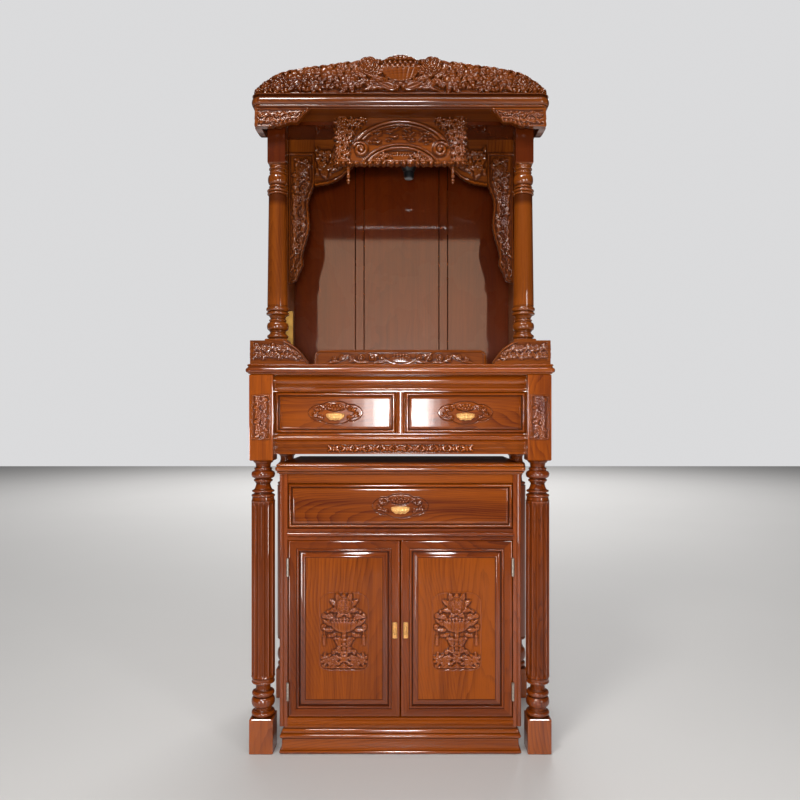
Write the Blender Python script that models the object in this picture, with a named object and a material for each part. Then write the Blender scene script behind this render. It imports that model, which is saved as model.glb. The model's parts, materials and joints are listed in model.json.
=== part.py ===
"""Household altar cabinet: a carved shrine on a tall table, with a cabinet standing below it.

Units are metres, +Z is up and -Y is the front. The origin is on the floor, in the middle.
"""
import math

import bmesh
import bpy
from mathutils import Vector

# Gap between pieces that touch
FIT = 0.0003
# Running clearance of drawers and doors
PLAY = 0.0015

# Table
TABLE_WIDTH = 0.880
TABLE_DEPTH = 0.480
TABLE_HEIGHT = 1.108
TOP_THICKNESS = 0.030
LEG_BLOCK = 0.064
LEG_SETBACK = 0.0125
LEG_FRONT_SETBACK = 0.009
LEG_BLOCK_HEIGHT = 0.245
LEG_SHAFT_RADIUS = 0.034
FLUTES = 14
FLUTE_DEPTH = 0.0035
RAIL_SETBACK = 0.045
RAIL_DEPTH = 0.040
RAIL_UPPER_HEIGHT = 0.047
DRAWER_HEIGHT = 0.121
RAIL_LOWER_HEIGHT = 0.026
APRON_HEIGHT = 0.033
APRON_THICKNESS = 0.018
APRON_PITCH = 0.0385
BOARD_THICKNESS = 0.012
DIVIDER_WIDTH = 0.025
SIDE_BOARD_SETBACK = 0.020

# Drawers
DRAWER_FRONT_THICKNESS = 0.018
DRAWER_WALL = 0.010
DRAWER_BOTTOM = 0.006
TABLE_DRAWER_BACK_GAP = 0.037
CABINET_DRAWER_BACK_GAP = 0.026
PULL_WIDTH = 0.054
PULL_HEIGHT = 0.024
PULL_THICKNESS = 0.003
PULL_DROP = 0.012
DRAWER_BEAD = 0.010
TABLE_CARTOUCHE = (0.080, 0.036)
CABINET_CARTOUCHE = (0.081, 0.037)

# Shrine
SHRINE_HEIGHT = 0.735
CORNICE_HEIGHT = 0.042
CORNICE_INSET = 0.010
CORNICE_SETBACK = 0.020
CEILING_THICKNESS = 0.010
CREST_HEIGHT = 0.115
CREST_INSET = 0.010
CREST_THICKNESS = 0.018
CREST_SETBACK = 0.030
COLUMN_INSET = 0.077
COLUMN_SETBACK = 0.092
COLUMN_RADIUS_LOW = 0.0305
COLUMN_RADIUS_HIGH = 0.0264
COLUMN_BLOCK = 0.052
COLUMN_BLOCK_HEIGHT = 0.144
COLUMN_BASE = 0.058
COLUMN_BASE_HEIGHT = 0.078
NICHE_INSET = 0.071
NICHE_REAR_SETBACK = 0.050
WALL_THICKNESS = 0.018
WALL_SETBACK = 0.218
STRIP = 0.014
STILE_WIDTH = 0.030
STILE_OFFSET = 0.129
STILE_GROOVE = 0.004
BRACKET_REACH = 0.158
BRACKET_SIDE_REACH = 0.157
BRACKET_HEIGHT = 0.053
BRACKET_THICKNESS = 0.016
BRACKET_INSET = 0.013
BRACKET_SETBACK = 0.028
FENCE_REACH = 0.165
FENCE_HEIGHT = 0.067
FENCE_THICKNESS = 0.014
FENCE_INSET = 0.013
FENCE_SETBACK = 0.013
FENCE_CENTRE_GAP = 0.010
FENCE_CENTRE_HEIGHT = 0.045
FENCE_CENTRE_SETBACK = 0.060
PLAQUE_WIDTH = 0.399
PLAQUE_HEIGHT = 0.141
PLAQUE_THICKNESS = 0.018
PLAQUE_SETBACK = 0.092
PENDANT_OFFSET = 0.155
PENDANT_LENGTH = 0.051
PENDANT_RADIUS = 0.0055
LAMP_OFFSET = 0.025
LAMP_SETBACK = 0.265
LAMP_LENGTH = 0.110
LAMP_RADIUS = 0.025
CARVED_THICKNESS = 0.012
CARVED_DROP = 0.451
CARVED_WIDTH = 0.083
ARCH_DROP = 0.147
BATTEN_WIDTH = 0.022
BATTEN_THICKNESS = 0.012
BATTEN_HEIGHT = 0.181

# Lower cabinet
CABINET_GAP = 0.0075
CABINET_REAR_SETBACK = 0.047
CABINET_HEAD_GAP = 0.0254
CABINET_TOP_THICKNESS = 0.030
CABINET_TOP_OVERHANG = 0.012
CABINET_SETBACK = 0.013
CABINET_WALL = 0.023
CABINET_RAIL_TOP = 0.026
CABINET_DRAWER_HEIGHT = 0.129
CABINET_RAIL_MIDDLE = 0.032
CABINET_BOTTOM_HEIGHT = 0.0245
CABINET_BACK_THICKNESS = 0.012
PLINTH_HEIGHT = 0.077
PLINTH_THICKNESS = 0.020
DOOR_THICKNESS = 0.020
DOOR_FRAME = 0.031
DOOR_MOULDING = 0.017
DOOR_RECESS = 0.005
DOOR_SETBACK = 0.002
DOOR_MEETING = 0.003
DOOR_CARTOUCHE = (0.0705, 0.1125)
DOOR_CARTOUCHE_DROP = 0.008
DOOR_PULL_HEIGHT = 0.046
DOOR_PULL_WIDTH = 0.014
DOOR_PULL_THICKNESS = 0.003
DOOR_PULL_INSET = 0.014
DOOR_PULL_RISE = 0.249
HINGE_RADIUS = 0.004
HINGE_HEIGHT = 0.052
HINGE_INSET = 0.075

# Depth of the carving
CARVING = 0.007

# Places worked out from the sizes above
FRONT = -TABLE_DEPTH / 2
REAR = TABLE_DEPTH / 2
UNDER_TOP = TABLE_HEIGHT - TOP_THICKNESS
LEG_HALF = LEG_BLOCK / 2
LEG_X = TABLE_WIDTH / 2 - LEG_SETBACK - LEG_HALF
LEG_Y = TABLE_DEPTH / 2 - LEG_FRONT_SETBACK - LEG_HALF
LEG_INNER = LEG_X - LEG_HALF
RAIL_FRONT = FRONT + RAIL_SETBACK
DRAWER_TOP = UNDER_TOP - FIT - RAIL_UPPER_HEIGHT
DRAWER_LOW = DRAWER_TOP - DRAWER_HEIGHT
RAIL_LOW = DRAWER_LOW - RAIL_LOWER_HEIGHT
APRON_LOW = RAIL_LOW - FIT - APRON_HEIGHT
CORNICE_LOW = TABLE_HEIGHT + SHRINE_HEIGHT
CEILING_LOW = CORNICE_LOW - FIT - CEILING_THICKNESS
CORNICE_TOP = CORNICE_LOW + CORNICE_HEIGHT
CORNICE_HALF = TABLE_WIDTH / 2 - CORNICE_INSET
BRACKET_HALF = CORNICE_HALF - BRACKET_INSET
FENCE_HALF = TABLE_WIDTH / 2 - FENCE_INSET
COLUMN_X = TABLE_WIDTH / 2 - COLUMN_INSET
COLUMN_Y = FRONT + COLUMN_SETBACK
NICHE_HALF = TABLE_WIDTH / 2 - NICHE_INSET
NICHE_BACK = REAR - NICHE_REAR_SETBACK
WALL_FRONT = FRONT + WALL_SETBACK
CABINET_FRONT = FRONT + CABINET_SETBACK
CABINET_REAR = REAR - CABINET_REAR_SETBACK
CABINET_HALF = LEG_INNER - CABINET_GAP - CABINET_TOP_OVERHANG
CABINET_INNER = CABINET_HALF - CABINET_WALL
CABINET_HEIGHT = APRON_LOW - CABINET_HEAD_GAP
CABINET_CARCASS = CABINET_HEIGHT - CABINET_TOP_THICKNESS
CABINET_DRAWER_TOP = CABINET_CARCASS - FIT - CABINET_RAIL_TOP
CABINET_DRAWER_LOW = CABINET_DRAWER_TOP - CABINET_DRAWER_HEIGHT
DOOR_TOP = CABINET_DRAWER_LOW - CABINET_RAIL_MIDDLE
DOOR_LOW = PLINTH_HEIGHT + CABINET_BOTTOM_HEIGHT


def make_material(name, colour, roughness, metallic=0.0):
    """A plain lacquer, metal or wood finish."""
    material = bpy.data.materials.new(name)
    material.use_nodes = True
    shader = material.node_tree.nodes["Principled BSDF"]
    shader.inputs["Base Color"].default_value = (*colour, 1.0)
    shader.inputs["Roughness"].default_value = roughness
    shader.inputs["Metallic"].default_value = metallic
    return material


def finish(bm, name, material, smooth_angle=None):
    """Turn a bmesh into a named object with outward faces."""
    bmesh.ops.recalc_face_normals(bm, faces=bm.faces[:])
    mesh = bpy.data.meshes.new(name)
    bm.to_mesh(mesh)
    bm.free()
    if smooth_angle is not None:
        mesh.shade_smooth()
        mesh.set_sharp_from_angle(angle=smooth_angle)
    mesh.materials.append(material)
    piece = bpy.data.objects.new(name, mesh)
    bpy.context.scene.collection.objects.link(piece)
    return piece


def add_block(bm, low, high):
    """A box between two corners."""
    result = bmesh.ops.create_cube(bm, size=1.0)
    for vert in result["verts"]:
        for axis in range(3):
            share = vert.co[axis] + 0.5
            vert.co[axis] = low[axis] + share * (high[axis] - low[axis])
    return result["verts"]


def block(name, low, high, material, bevel=0.0):
    """A plain board, with its edges eased by one small chamfer."""
    bm = bmesh.new()
    add_block(bm, low, high)
    if bevel > 0:
        bmesh.ops.bevel(bm, geom=bm.edges[:], offset=bevel, segments=1, affect="EDGES")
    return finish(bm, name, material)


def arc(centre, radius, start, end, count):
    """Points of a round stretch, angles in degrees."""
    points = []
    for index in range(count + 1):
        angle = math.radians(start + (end - start) * index / count)
        points.append((centre[0] + radius * math.cos(angle), centre[1] + radius * math.sin(angle)))
    return points


def moulding(name, profile, x_low, x_high, material):
    """A run along X of a profile given as (y, z) points."""
    bm = bmesh.new()
    face = bm.faces.new([bm.verts.new((x_low, y, z)) for y, z in profile])
    result = bmesh.ops.extrude_face_region(bm, geom=[face])
    moved = [item for item in result["geom"] if isinstance(item, bmesh.types.BMVert)]
    bmesh.ops.translate(bm, verts=moved, vec=(x_high - x_low, 0, 0))
    return finish(bm, name, material)


def bridge(bm, rings, close_middle=False):
    """Join rings of verts that lie one above the other and close both ends."""
    for lower, upper in zip(rings, rings[1:]):
        count = len(lower)
        for index in range(count):
            following = (index + 1) % count
            bm.faces.new((lower[index], lower[following], upper[following], upper[index]))
    for ring in (rings[0], rings[-1]):
        if not close_middle:
            bm.faces.new(ring)
            continue
        middle = bm.verts.new(sum((vert.co for vert in ring), Vector()) / len(ring))
        for index, vert in enumerate(ring):
            bm.faces.new((vert, ring[(index + 1) % len(ring)], middle))


def slab(name, low, high, steps, corner, material, corner_steps=2):
    """A board whose edge is a moulding: steps are (z, inset) from the bottom up."""
    bm = bmesh.new()
    rings = []
    for z, inset in steps:
        radius = max(corner - inset, 0.001)
        ring = []
        for quarter, (sign_x, sign_y) in enumerate(((1, 1), (-1, 1), (-1, -1), (1, -1))):
            x = (high[0] if sign_x > 0 else low[0]) - sign_x * (inset + radius)
            y = (high[1] if sign_y > 0 else low[1]) - sign_y * (inset + radius)
            start = 90 * quarter
            for px, py in arc((x, y), radius, start, start + 90, corner_steps):
                ring.append(bm.verts.new((px, py, z)))
        rings.append(ring)
    bridge(bm, rings)
    return finish(bm, name, material)


def turned(name, centre, rings, sides, material, flutes=0, flute_depth=0.0):
    """A post of rings (z, size, shape); the shape is square, round or fluted."""
    bm = bmesh.new()
    built = []
    # The square's corners have to fall on verts
    turn = math.pi / sides if sides % 8 else 0.0
    for z, size, shape in rings:
        ring = []
        for index in range(sides):
            angle = 2 * math.pi * index / sides + turn
            cosine, sine = math.cos(angle), math.sin(angle)
            reach = size
            if shape == "square":
                reach = size / max(abs(cosine), abs(sine))
            elif shape == "fluted":
                reach = size - flute_depth * (0.5 - 0.5 * math.cos(flutes * (angle - turn)))
            ring.append(bm.verts.new((centre[0] + reach * cosine, centre[1] + reach * sine, z)))
        built.append(ring)
    bridge(bm, built, close_middle=True)
    return finish(bm, name, material, math.radians(35))


def dome(x, z, centre_x, centre_z, radius_x, radius_z, turn=0.0):
    """Height from 0 to 1 of a rounded oval swelling, turned by an angle."""
    dx, dz = x - centre_x, z - centre_z
    along = (dx * math.cos(turn) + dz * math.sin(turn)) / radius_x
    across = (dz * math.cos(turn) - dx * math.sin(turn)) / radius_z
    left = 1 - along * along - across * across
    return math.sqrt(left) if left > 0 else 0.0


def blossom(x, z, centre_x, centre_z, radius, petals):
    """An open flower of round petals about a raised eye."""
    dx, dz = x - centre_x, z - centre_z
    distance = math.hypot(dx, dz) / radius
    if distance >= 1:
        return 0.0
    lobes = 0.82 + 0.18 * math.cos(petals * math.atan2(dz, dx))
    return math.sqrt(1 - distance ** 2) * (lobes if distance > 0.35 else 1.0)


def lotus(x, z, centre_x, base_z, width, height):
    """A lotus seen from the side: petals that fan up from one base."""
    tallest = 0.0
    for petal in range(-2, 3):
        lean = 0.42 * petal
        reach = height * (0.5 - 0.05 * abs(petal))
        middle_x = centre_x + math.sin(lean) * reach
        middle_z = base_z + math.cos(lean) * reach
        tallest = max(tallest, dome(x, z, middle_x, middle_z, width * 0.16, reach, -lean))
    return tallest


def leaf_run(x, z, start, step, count, middle, length, width):
    """Leaves that lean to and fro along a wandering stem."""
    tallest = 0.0
    for index in range(count):
        side = 1 if index % 2 else -1
        centre_x = start + step * index
        centre_z = middle + side * width * 0.4
        tallest = max(tallest, dome(x, z, centre_x, centre_z, length, width, side * 0.6))
    return tallest


def fan(bm, low, high, points):
    """Flat triangles between one straight edge and a row of points beside it."""
    middle = len(points) // 2
    for first, second in zip(points[:middle], points[1:middle + 1]):
        bm.faces.new((low, first, second))
    bm.faces.new((low, points[middle], high))
    for first, second in zip(points[middle:], points[middle + 1:]):
        bm.faces.new((high, first, second))


def carved_board(name, stations, rows, low_edge, high_edge, place, depth, relief, material):
    """A board with a carved face.

    Stations run along it. low_edge and high_edge give its outline at a station, place turns a station,
    a height and a depth behind the face into a point, and relief gives how far the carving stands out.
    """
    bm = bmesh.new()
    face, back = [], []
    for station in stations:
        low, high = low_edge(station), high_edge(station)
        column = []
        for row in range(rows + 1):
            z = low + (high - low) * row / rows
            column.append(bm.verts.new(place(station, z, -relief(station, z, low, high))))
        face.append(column)
        back.append((bm.verts.new(place(station, low, depth)), bm.verts.new(place(station, high, depth))))
    for index in range(len(stations) - 1):
        here, there = face[index], face[index + 1]
        for row in range(rows):
            bm.faces.new((here[row], there[row], there[row + 1], here[row + 1]))
        bm.faces.new((back[index][0], back[index + 1][0], there[0], here[0]))
        bm.faces.new((here[-1], there[-1], back[index + 1][1], back[index][1]))
        bm.faces.new((back[index][0], back[index][1], back[index + 1][1], back[index + 1][0]))
    for end in (0, -1):
        fan(bm, back[end][0], back[end][1], face[end])
    return finish(bm, name, material, math.radians(40))


def even(low, high, count):
    """Evenly spaced stations."""
    return [low + (high - low) * index / count for index in range(count + 1)]


def straight(face_y, side=1):
    """Place for a board that faces the front; side -1 mirrors it."""
    def place(x, z, depth):
        return (side * x, face_y + depth, z)
    return place


def cornered(corner_x, corner_y, side):
    """Place for a board that turns a corner: stations below 0 run back along the side."""
    def place(station, z, depth):
        x = corner_x - max(station, 0.0)
        y = corner_y + max(-station, 0.0)
        if station <= 0:
            x -= depth
        if station >= 0:
            y += depth
        return (side * x, y, z)
    return place


def panel_front(name, rings, columns, rows, face_y, thickness, relief, material, box=None):
    """A board with stepped mouldings round a carved middle, and a drawer box behind it if one is given.

    Rings are (x_low, x_high, z_low, z_high, rise) from the outside in.
    """
    bm = bmesh.new()

    def loop(x_low, x_high, z_low, z_high, y):
        corners = ((x_low, z_low), (x_high, z_low), (x_high, z_high), (x_low, z_high))
        return [bm.verts.new((x, y, z)) for x, z in corners]

    outer = rings[0]
    loops = [loop(*ring[:4], face_y - ring[4]) for ring in rings[:-1]]
    for first, second in zip(loops, loops[1:]):
        for index in range(4):
            following = (index + 1) % 4
            bm.faces.new((first[index], first[following], second[following], second[index]))
    x_low, x_high, z_low, z_high, rise = rings[-1]
    grid = []
    for x in even(x_low, x_high, columns):
        grid.append([])
        for z in even(z_low, z_high, rows):
            grid[-1].append(bm.verts.new((x, face_y - rise - relief(x, z), z)))
    for here, there in zip(grid, grid[1:]):
        for row in range(rows):
            bm.faces.new((here[row], there[row], there[row + 1], here[row + 1]))
    last = loops[-1]
    fan(bm, last[0], last[1], [column[0] for column in grid])
    fan(bm, last[1], last[2], grid[-1])
    fan(bm, last[3], last[2], [column[-1] for column in grid])
    fan(bm, last[0], last[3], grid[0])
    rear = loop(*outer[:4], face_y + thickness)
    for index in range(4):
        following = (index + 1) % 4
        bm.faces.new((loops[0][index], loops[0][following], rear[following], rear[index]))
    if box is None:
        bm.faces.new(rear)
        return finish(bm, name, material)
    outside, inside, floor_z, end_y = box
    mouth = loop(*outside, face_y + thickness)
    for index in range(4):
        following = (index + 1) % 4
        bm.faces.new((rear[index], rear[following], mouth[following], mouth[index]))
    add_tray(bm, mouth, outside, inside, floor_z, end_y)
    return finish(bm, name, material)


def add_tray(bm, mouth, outside, inside, floor_z, end_y):
    """The hollow box behind a drawer front, open at the top."""
    x_low, x_high, z_low, z_high = outside
    in_low, in_high, in_start, in_end = inside
    corners = ((x_low, z_low), (x_high, z_low), (x_high, z_high), (x_low, z_high))
    end = [bm.verts.new((x, end_y, z)) for x, z in corners]
    plan = ((in_low, in_start), (in_high, in_start), (in_high, in_end), (in_low, in_end))
    rim = [bm.verts.new((x, y, z_high)) for x, y in plan]
    floor = [bm.verts.new((x, y, floor_z)) for x, y in plan]
    bm.faces.new((mouth[0], mouth[1], end[1], end[0]))
    bm.faces.new((mouth[1], mouth[2], end[2], end[1]))
    bm.faces.new((mouth[3], mouth[0], end[0], end[3]))
    bm.faces.new(end)
    border = (mouth[3], mouth[2], end[2], end[3])
    for index in range(4):
        following = (index + 1) % 4
        bm.faces.new((border[index], border[following], rim[following], rim[index]))
        bm.faces.new((rim[index], rim[following], floor[following], floor[index]))
    bm.faces.new(floor)


# Profiles of the turned work: height, size and shape of each ring
LEG_FOOT_HEIGHT = 0.099
LEG_LOWER = (
    (0.002, 0.026, "round"), (0.018, 0.033, "round"), (0.025, 0.023, "round"), (0.050, 0.033, "round"),
    (0.070, 0.032, "round"), (0.093, 0.021, "round"), (0.099, 0.033, "round"), (0.113, 0.033, "round"),
)
LEG_UPPER = (
    (0.115, 0.033, "round"), (0.100, 0.033, "round"), (0.096, 0.028, "round"), (0.091, 0.032, "round"),
    (0.0665, 0.021, "round"), (0.042, 0.034, "round"), (0.022, 0.023, "round"), (0.002, 0.023, "round"),
)
LEG_BACK_LOWER = (
    (0.002, 0.026, "round"), (0.022, 0.029, "round"), (0.058, 0.033, "round"), (0.093, 0.022, "round"),
    (0.105, 0.033, "round"),
)
LEG_BACK_UPPER = (
    (0.107, 0.033, "round"), (0.0665, 0.022, "round"), (0.042, 0.033, "round"), (0.002, 0.024, "round"),
)
COLUMN_LOWER = (
    (0.002, 0.031, "round"), (0.010, 0.031, "round"), (0.018, 0.023, "round"), (0.033, 0.031, "round"),
    (0.047, 0.031, "round"), (0.065, 0.023, "round"), (0.081, 0.034, "round"), (0.100, 0.034, "round"),
)
COLUMN_UPPER = (
    (0.087, 0.031, "round"), (0.070, 0.031, "round"), (0.067, 0.023, "round"), (0.054, 0.0285, "round"),
    (0.030, 0.0285, "round"), (0.010, 0.022, "round"),
)


def make_leg(name, side_x, side_y, sides, flutes, material):
    """A leg: square block under the top, turned vases and rings, shaft, square foot; the back ones are plainer."""
    top = UNDER_TOP - FIT
    block_low = top - LEG_BLOCK_HEIGHT
    shape = "fluted" if flutes else "round"
    lower, upper = (LEG_LOWER, LEG_UPPER) if flutes else (LEG_BACK_LOWER, LEG_BACK_UPPER)
    rings = [(0.0, LEG_HALF, "square"), (LEG_FOOT_HEIGHT, LEG_HALF, "square")]
    rings += [(LEG_FOOT_HEIGHT + height, size, kind) for height, size, kind in lower]
    rings.append((rings[-1][0] + 0.012, LEG_SHAFT_RADIUS, shape))
    rings.append((block_low - upper[0][0] - 0.012, LEG_SHAFT_RADIUS, shape))
    rings += [(block_low - drop, size, kind) for drop, size, kind in upper]
    rings += [(block_low, LEG_HALF, "square"), (top, LEG_HALF, "square")]
    centre = (side_x * LEG_X, side_y * LEG_Y)
    turned(name, centre, rings, sides, material, flutes, FLUTE_DEPTH if flutes else 0.0)


def make_table(lacquer):
    """The table: top, four legs, rails, apron and the boards that carry the drawers."""
    nose = TOP_THICKNESS / 2
    steps = [(UNDER_TOP, 0.012), (UNDER_TOP + 0.004, 0.012)]
    for height, share in ((0.006, 0.005), (nose, 0.0), (TOP_THICKNESS - 0.005, 0.003), (TOP_THICKNESS, 0.009)):
        steps.append((UNDER_TOP + height, share))
    half = TABLE_WIDTH / 2
    slab("table_top", (-half, FRONT), (half, REAR), steps, 0.014, lacquer)
    for side, word in ((-1, "left"), (1, "right")):
        make_leg("leg_front_" + word, side, -1, 2 * FLUTES, FLUTES, lacquer)
        make_leg("leg_back_" + word, side, 1, 12, 0, lacquer)
        x_outer = side * (half - SIDE_BOARD_SETBACK)
        x_inner = x_outer - side * APRON_THICKNESS
        reach = LEG_Y - LEG_HALF - FIT
        low = (min(x_outer, x_inner), -reach, APRON_LOW)
        high = (max(x_outer, x_inner), reach, UNDER_TOP - FIT)
        block("side_apron_" + word, low, high, lacquer, 0.002)
    span = LEG_INNER - FIT
    back_low = REAR - SIDE_BOARD_SETBACK - APRON_THICKNESS
    back = ((-span, back_low, APRON_LOW), (span, back_low + APRON_THICKNESS, UNDER_TOP - FIT))
    block("back_apron", *back, lacquer, 0.002)

    rail_back = RAIL_FRONT + RAIL_DEPTH
    top = UNDER_TOP - FIT
    upper = [(rail_back, DRAWER_TOP), (rail_back, top), (RAIL_FRONT, top)]
    upper += [(y, z) for y, z in arc((RAIL_FRONT, top - 0.015), 0.013, 90, 270, 6)]
    upper += [(RAIL_FRONT, DRAWER_TOP + 0.014), (RAIL_FRONT - 0.004, DRAWER_TOP + 0.011)]
    upper += [(RAIL_FRONT - 0.004, DRAWER_TOP + 0.003), (RAIL_FRONT, DRAWER_TOP)]
    moulding("front_rail_upper", upper, -span, span, lacquer)
    middle = RAIL_LOW + RAIL_LOWER_HEIGHT / 2
    lower = [(rail_back, RAIL_LOW), (rail_back, DRAWER_LOW), (RAIL_FRONT, DRAWER_LOW)]
    lower += arc((RAIL_FRONT, middle), 0.007, 90, 270, 5) + [(RAIL_FRONT, RAIL_LOW)]
    moulding("front_rail_lower", lower, -span, span, lacquer)

    carved = 11 * APRON_PITCH / 2

    def apron_relief(x, z, low, high):
        place = ((x + carved) / APRON_PITCH) % 1.0 - 0.5
        half_height = (high - low) / 2
        level = (z - low) / half_height - 1
        return 0.5 * CARVING * max(0.0, 1 - 2.2 * abs(place) - abs(level)) ** 0.5 if abs(x) < carved else 0.0

    carved_board(
        "front_apron", [-span] + even(-carved, carved, 22) + [span], 2, lambda x: APRON_LOW, lambda x: RAIL_LOW - FIT,
        straight(RAIL_FRONT), APRON_THICKNESS, apron_relief, lacquer)
    board_front = rail_back + FIT
    board_back = back_low - FIT
    low = (-span, board_front, DRAWER_LOW - BOARD_THICKNESS)
    block("drawer_board", low, (span, board_back, DRAWER_LOW), lacquer)
    half_divider = DIVIDER_WIDTH / 2
    divider_low = (-half_divider, RAIL_FRONT, DRAWER_LOW + FIT)
    block("drawer_divider", divider_low, (half_divider, board_back, DRAWER_TOP - FIT), lacquer, 0.003)


def cartouche(x, z, centre_x, centre_z, half_x, half_z):
    """A raised lobed plate with a lotus and scrolls at its sides."""
    dx, dz = (x - centre_x) / half_x, (z - centre_z) / half_z
    inside = 1 - (abs(dx) ** 2.6 + abs(dz) ** 2.6)
    if inside <= 0:
        return 0.0
    height = 0.35 * min(1.0, 4 * inside)
    height += 0.65 * lotus(x, z, centre_x, centre_z - 0.1 * half_z, half_x, 0.9 * half_z)
    for side in (-1, 1):
        height = max(height, dome(x, z, centre_x + side * 0.7 * half_x, centre_z, 0.22 * half_x, 0.5 * half_z))
    return height * CARVING


def place_moving(piece, origin, parent=None):
    """Give a piece its origin at a point, and hang it on another moving piece if one is named."""
    for vert in piece.data.vertices:
        vert.co -= Vector(origin)
    piece.location = origin
    if parent is not None:
        piece.parent = parent
        piece.location = Vector(origin) - parent.location
    return piece


def make_drawer(name, low, high, depth, face_y, half_cartouche, lacquer, brass):
    """A drawer with a carved front, a hollow box behind it and a pull plate."""
    x_low, z_low = low
    x_high, z_high = high
    middle_x, middle_z = (x_low + x_high) / 2, (z_low + z_high) / 2
    half_x, half_z = half_cartouche
    bead_in = DRAWER_BEAD + 0.003
    recess = 0.003
    rings = [
        (x_low, x_high, z_low, z_high, 0.0),
        (x_low + DRAWER_BEAD, x_high - DRAWER_BEAD, z_low + DRAWER_BEAD, z_high - DRAWER_BEAD, 0.0),
        (x_low + bead_in, x_high - bead_in, z_low + bead_in, z_high - bead_in, -recess),
        (middle_x - half_x, middle_x + half_x, middle_z - half_z, middle_z + half_z, -recess),
    ]
    pull_z = middle_z - PULL_DROP
    field = 0.3 * CARVING

    def relief(x, z):
        height = cartouche(x, z, middle_x, middle_z, half_x * 0.97, half_z * 0.97)
        near_x = abs(x - middle_x) < PULL_WIDTH / 2 + half_x / 4
        near_z = abs(z - pull_z) < PULL_HEIGHT / 2 + half_z / 3
        return min(height, field) if near_x and near_z else height

    start = face_y + DRAWER_FRONT_THICKNESS
    outside = (x_low + 0.004, x_high - 0.004, z_low + 0.001, z_high - 0.018)
    inner_back = face_y + depth - DRAWER_WALL
    inside = (outside[0] + DRAWER_WALL, outside[1] - DRAWER_WALL, start + DRAWER_WALL, inner_back)
    box = (outside, inside, outside[2] + DRAWER_BOTTOM, face_y + depth)
    drawer = panel_front(name, rings, 10, 6, face_y, DRAWER_FRONT_THICKNESS, relief, lacquer, box)
    place_moving(drawer, (middle_x, face_y, middle_z))
    plate_back = face_y + recess - field - FIT
    plate = oval_plate(name + "_pull", (middle_x, pull_z), PULL_WIDTH, PULL_HEIGHT, PULL_THICKNESS, plate_back, brass)
    place_moving(plate, (middle_x, plate_back, pull_z), drawer)


def oval_plate(name, centre, width, height, thickness, back_y, material):
    """A low domed oval plate that faces the front."""
    bm = bmesh.new()
    sides = 16
    rings = []
    for rise, share in ((0.0, 1.0), (0.45 * thickness, 1.0), (thickness, 0.72)):
        ring = []
        for index in range(sides):
            angle = 2 * math.pi * index / sides
            x = centre[0] + share * width / 2 * math.cos(angle)
            z = centre[1] + share * height / 2 * math.sin(angle)
            ring.append(bm.verts.new((x, back_y - rise, z)))
        rings.append(ring)
    bridge(bm, rings)
    return finish(bm, name, material)


def make_table_drawers(lacquer, brass):
    """Two drawers side by side under the table top."""
    inner = DIVIDER_WIDTH / 2 + PLAY
    outer = LEG_INNER - PLAY
    depth = REAR - SIDE_BOARD_SETBACK - APRON_THICKNESS - TABLE_DRAWER_BACK_GAP - RAIL_FRONT
    z_low, z_high = DRAWER_LOW + PLAY, DRAWER_TOP - PLAY
    for side, word in ((-1, "left"), (1, "right")):
        x_low, x_high = (-outer, -inner) if side < 0 else (inner, outer)
        make_drawer(
            "table_drawer_" + word, (x_low, z_low), (x_high, z_high), depth, RAIL_FRONT,
            TABLE_CARTOUCHE, lacquer, brass)


def plan_board(name, plan, z_low, z_high, material):
    """An upright board whose outline seen from above is given as (x, y) points."""
    bm = bmesh.new()
    face = bm.faces.new([bm.verts.new((x, y, z_low)) for x, y in plan])
    result = bmesh.ops.extrude_face_region(bm, geom=[face])
    moved = [item for item in result["geom"] if isinstance(item, bmesh.types.BMVert)]
    bmesh.ops.translate(bm, verts=moved, vec=(0, 0, z_high - z_low))
    return finish(bm, name, material)


def between(points, value):
    """Value of a broken line of (place, value) points."""
    for first, second in zip(points, points[1:]):
        if value <= second[0]:
            share = (value - first[0]) / (second[0] - first[0])
            return first[1] + (second[1] - first[1]) * share
    return points[-1][1]


# Outlines of the carved boards, as shares of their own length and height
CREST_OUTLINE = (
    (0.0, 1.0), (0.08, 0.95), (0.12, 0.85), (0.16, 0.89), (0.215, 0.97), (0.28, 0.88), (0.36, 0.80), (0.45, 0.765),
    (0.57, 0.70), (0.67, 0.67), (0.81, 0.55), (0.93, 0.31), (1.0, 0.07),
)
CARVED_OUTLINE = (
    (0.0, 1.0), (0.317, 1.0), (0.357, 0.916), (0.4235, 0.783), (0.492, 0.771), (0.59, 0.819), (0.645, 0.783),
    (0.713, 0.687), (0.779, 0.578), (0.818, 0.542), (0.869, 0.578), (0.933, 0.42), (0.984, 0.31), (1.0, 0.17),
)
ARCH_OUTLINE = ((0.0, 0.37), (0.4, 0.42), (0.55, 0.56), (0.65, 0.74), (0.77, 0.90), (1.0, 1.0))
BRACKET_OUTLINE = (
    (0.0, 1.0), (0.30, 1.0), (0.36, 0.90), (0.43, 0.97), (0.55, 0.85), (0.62, 0.76), (0.75, 0.76), (0.85, 0.42),
    (1.0, 0.06),
)
BRACKET_SIDE_OUTLINE = ((0.0, 1.0), (0.45, 0.96), (0.7, 0.75), (0.88, 0.42), (1.0, 0.08))
FENCE_OUTLINE = ((0.0, 1.0), (0.60, 1.0), (0.68, 0.90), (0.80, 0.72), (0.90, 0.45), (1.0, 0.08))


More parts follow.
